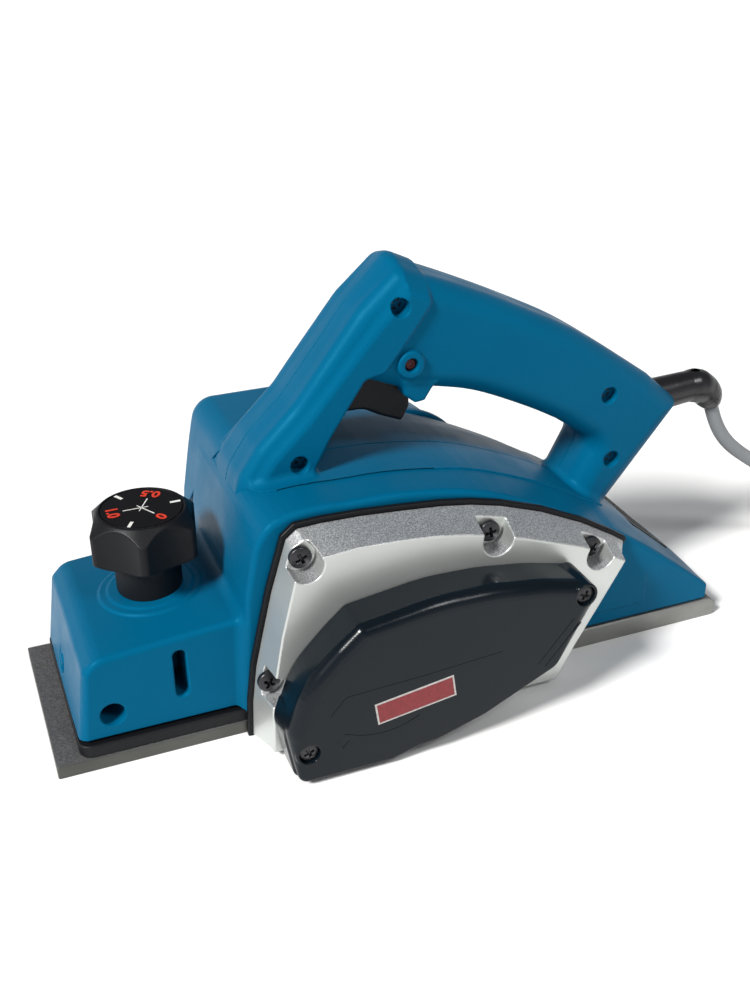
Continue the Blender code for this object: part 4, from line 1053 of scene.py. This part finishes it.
# Angle, inner and outer end, half width: three ticks, and a star of long and short rays.
DIAL_MARKS = [(60, 11.0, 15.0, 0.62), (180, 11.0, 15.0, 0.62), (-60, 11.0, 15.0, 0.62),
              (0, 0, 7.2, 0.2), (120, 0, 7.2, 0.2), (-120, 0, 7.2, 0.2),
              (60, 0, 2.6, 0.16), (180, 0, 2.6, 0.16), (-60, 0, 2.6, 0.16)]


def dial_number(text, angle, height):
    curve = bpy.data.curves.new("dial_text", "FONT")
    curve.body = text
    curve.size = 6.3 * MM
    curve.align_x = "CENTER"
    curve.align_y = "CENTER"
    curve.extrude = 0.06 * MM
    curve.offset = 0.18 * MM
    words = new_object("dial_text", curve)
    shown = words.evaluated_get(bpy.context.evaluated_depsgraph_get())
    mesh = bpy.data.meshes.new_from_object(shown)
    bpy.data.objects.remove(words)
    x, y = dial_point(11.2, angle)
    mesh.transform(Matrix.Translation(Vector((x, y, height + 0.08)) * MM)
                   @ Matrix.Rotation(angle + math.pi / 2, 4, "Z"))
    return new_object("dial_number_" + text.replace(".", "_"), mesh)


def dial_disc(x, y, z):
    top = node_box("dial_plate")[1].z
    return common(np.hypot(x - KNOB.x, y) - DIAL_RADIUS, slab(z, top - 0.8, top), 0.15)


def make_dial():
    """Dial plate with its numbers and marks."""
    height = node_box("dial_plate")[1].z
    plate = solid("dial_disc", dial_disc, (KNOB.x - 16, -16, height - 1.2),
                  (KNOB.x + 16, 16, height + 0.4), 0.3, 0.3)
    finish_piece(plate, "depth_knob", LOOKS["dial_black"], "dial_black", "dial_plate")
    red = print_ink("dial_red", (0.62, 0.035, 0.012))
    white = print_ink("dial_white", (0.75, 0.75, 0.72))
    for text, angle in DIAL_TEXTS:
        finish_piece(dial_number(text, math.radians(angle), height), "depth_knob", red,
                     "dial_black")
    strips = [(dial_point(near, math.radians(angle)), dial_point(far, math.radians(angle)), half)
              for angle, near, far, half in DIAL_MARKS]
    finish_piece(bars("dial_marks", strips, "Z", height - 0.1, height + 0.1), "depth_knob",
                 white, "dial_black")


# ---- making the pieces
make_camera()
make_stage()

plug = finish_piece(solid("plug_shell", plug_shell, (-227, 77, 0), (-184, 105, 27), 0.5, 0.6),
                    "planer_body", LOOKS["rubber"], "rubber", "plug_body")
finish_piece(solid("plug_pins", plug_pins, (-193, 79, 10), (-166, 103, 16), 0.35, 0.5),
             "planer_body", LOOKS["steel"], "steel")
finish_piece(solid("cord_guard_rubber", cord_guard, (-166, -9, 78), (-107, 9, 101), 0.4),
             "planer_body", LOOKS["rubber"], "rubber", "cord_guard")
make_cord()

# Name, field, lowest and highest corner, grid step, share of triangles kept, body, slot, node.
SHELLS = [
    ("housing_shell", main_housing, (-140.5, -41.5, 9), (136.5, 41.5, 96), 0.6, 0.28,
     "planer_body", "housing_blue", "main_housing"),
    ("chip_chute_shell", chip_chute, (14, -62.5, 45), (72, -5, 102), 0.5, 0.4,
     "planer_body", "housing_blue", "chip_chute"),
    ("motor_end_shell", motor_end_cover, (-62, -76.5, 11), (14, -41, 87), 0.5, 0.4,
     "planer_body", "housing_blue", "motor_end_cover"),
    ("vent_louvres", vent_grille, (-132, -34, 24), (-106, 23, 46), 0.35, 0.4,
     "planer_body", "black_plastic", "vent_grille"),
    ("gasket", side_gasket, (-94, 41, 0), (74, 44, 96), 0.45, 0.4,
     "planer_body", "black_plastic", "side_gasket"),
    ("bearing_cover_casting", bearing_cover, (-91, 43.5, 0), (72, 60.5, 90), 0.5, 0.4,
     "planer_body", "cast_aluminium", "bearing_cover"),
    ("belt_cover_shell", belt_cover, (-62, 60, 0), (69, 80.5, 70), 0.45, 0.4,
     "planer_body", "belt_cover_black", "belt_cover"),
    ("rear_shoe", rear_base, (-146, -42, -0.5), (40, 42, 10), 0.6, 0.4,
     "planer_body", "sole_aluminium", "rear_base"),
    ("front_shoe", front_base, (35, -42, -0.5), (146, 42, 7), 0.6, 0.4,
     "front_base", "sole_aluminium", "front_base"),
    ("skirt", front_skirt, (67, -41.5, 5), (137, 41.5, 12), 0.5, 0.4,
     "front_base", "black_plastic", "front_skirt"),
    ("knob_grip", depth_knob, (74, -23, 49), (120, 23, 85), 0.35, 0.4,
     "depth_knob", "black_plastic", "depth_knob"),
    ("handle_left_shell", lambda x, y, z: handle(x, y, z, 1), (-134, -1, 40), (63, 23, 174),
     0.55, 0.4, "planer_body", "housing_blue", "handle_left"),
    ("handle_right_shell", lambda x, y, z: handle(x, y, z, -1), (-134, -23, 40), (63, 1, 174),
     0.55, 0.4, "planer_body", "housing_blue", "handle_right"),
    ("trigger_paddle", trigger, (-13, -8, 103), (23, 8, 140), 0.4, 0.4,
     "trigger", "black_plastic", "trigger"),
    ("lock_pin", lock_button, (-10, 5, 129), (-2, 22, 137), 0.2, 0.5,
     "lock_button", "red_plastic", "lock_button"),
]
for name, field, low, high, step, keep, body, slot, node in SHELLS:
    finish_piece(solid(name, field, low, high, step, keep), body, LOOKS.get(name, LOOKS[slot]),
                 slot, node)

make_screws("pan_screw", COVER_SCREWS, 4.3, 3.0, 1.1)
make_screws("cover_screw", BELT_SCREWS, 3.7, 2.2, 0.8)
make_screws("handle_screw", HANDLE_SCREWS, 3.3, 2.4, 0.9, 1.5)
make_dial()

# Raised lines moulded into the belt cover.
COVER_LINES = [[(-17.2, 40.1), (14.5, 38.0), (44.9, 36.9), (51, 30)],
               smooth([(45.9, 20.4), (39, 17.8), (31.1, 16.7), (23, 17.8), (16.2, 20.6)], 4),
               [(48.6, 17.4), (46.8, 14.2), (44.4, 17.0)],
               [(-50, 45), (-36, 28)], [(-47, 47), (-33, 30)]]
strips = [strip for points in COVER_LINES for strip in along_line(points, 0.3)]
finish_piece(bars("belt_cover_lines", strips, "Y", BELT_HIGH - 0.2, BELT_HIGH + 0.14),
             "planer_body", LOOKS["belt_cover_black"], "belt_cover_black")

# A blank label: a pale frame, and a red field a little higher.
for name, strip, low, high, ink, colour in (
        ("blank_label", ((33.6, 25.9), (2.2, 30.5), 4.8), -0.1, 0.16,
         "label_frame", (0.45, 0.43, 0.42)),
        ("blank_label_field", ((32.9, 26.0), (2.9, 30.4), 4.1), 0.0, 0.22,
         "label_red", (0.20, 0.014, 0.018))):
    finish_piece(bars(name, [strip], "Y", BELT_HIGH + low, BELT_HIGH + high), "planer_body",
                 print_ink(ink, colour), "belt_cover_black")

# Arrows stamped into the front shoe.
strips = [strip for y in (-26, 1, 27)
          for strip in along_line([(141.6, y - 3.6), (138.6, y - 1.4), (141.6, y + 0.4),
                                   (138.4, y + 3.4)], 0.28)]
finish_piece(bars("shoe_marks", strips, "Z", 5.5, 5.78), "front_base", LOOKS["sole_aluminium"],
             "sole_aluminium")

# ---- nodes that stay as they are
KEPT = {
    "black_plastic": ["switch_body", "cord_clamp", "cooling_fan"],
    "rubber": ["drive_belt"],
    "cast_aluminium": ["drum_end_plate"],
    "steel": ["depth_stud", "depth_spring", "trigger_spring", "planer_blade_1", "planer_blade_2",
              "drum_bearing_left", "drum_bearing_right", "motor_bearing_left",
              "motor_bearing_right", "drum_pulley", "motor_pulley", "armature_shaft"],
    "dark_steel": ["cutter_drum", "blade_clamp_1", "blade_clamp_2", "base_screw_1",
                   "base_screw_2"],
    "copper": ["commutator", "brush_holder_front", "brush_holder_rear"],
    "laminations": ["armature_core", "stator"],
    "carbon": ["carbon_brush_front", "carbon_brush_rear"],
}
for slot, names in KEPT.items():
    for name in names:
        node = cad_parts[name]
        node.data.materials.clear()
        node.data.materials.append(LOOKS[slot])
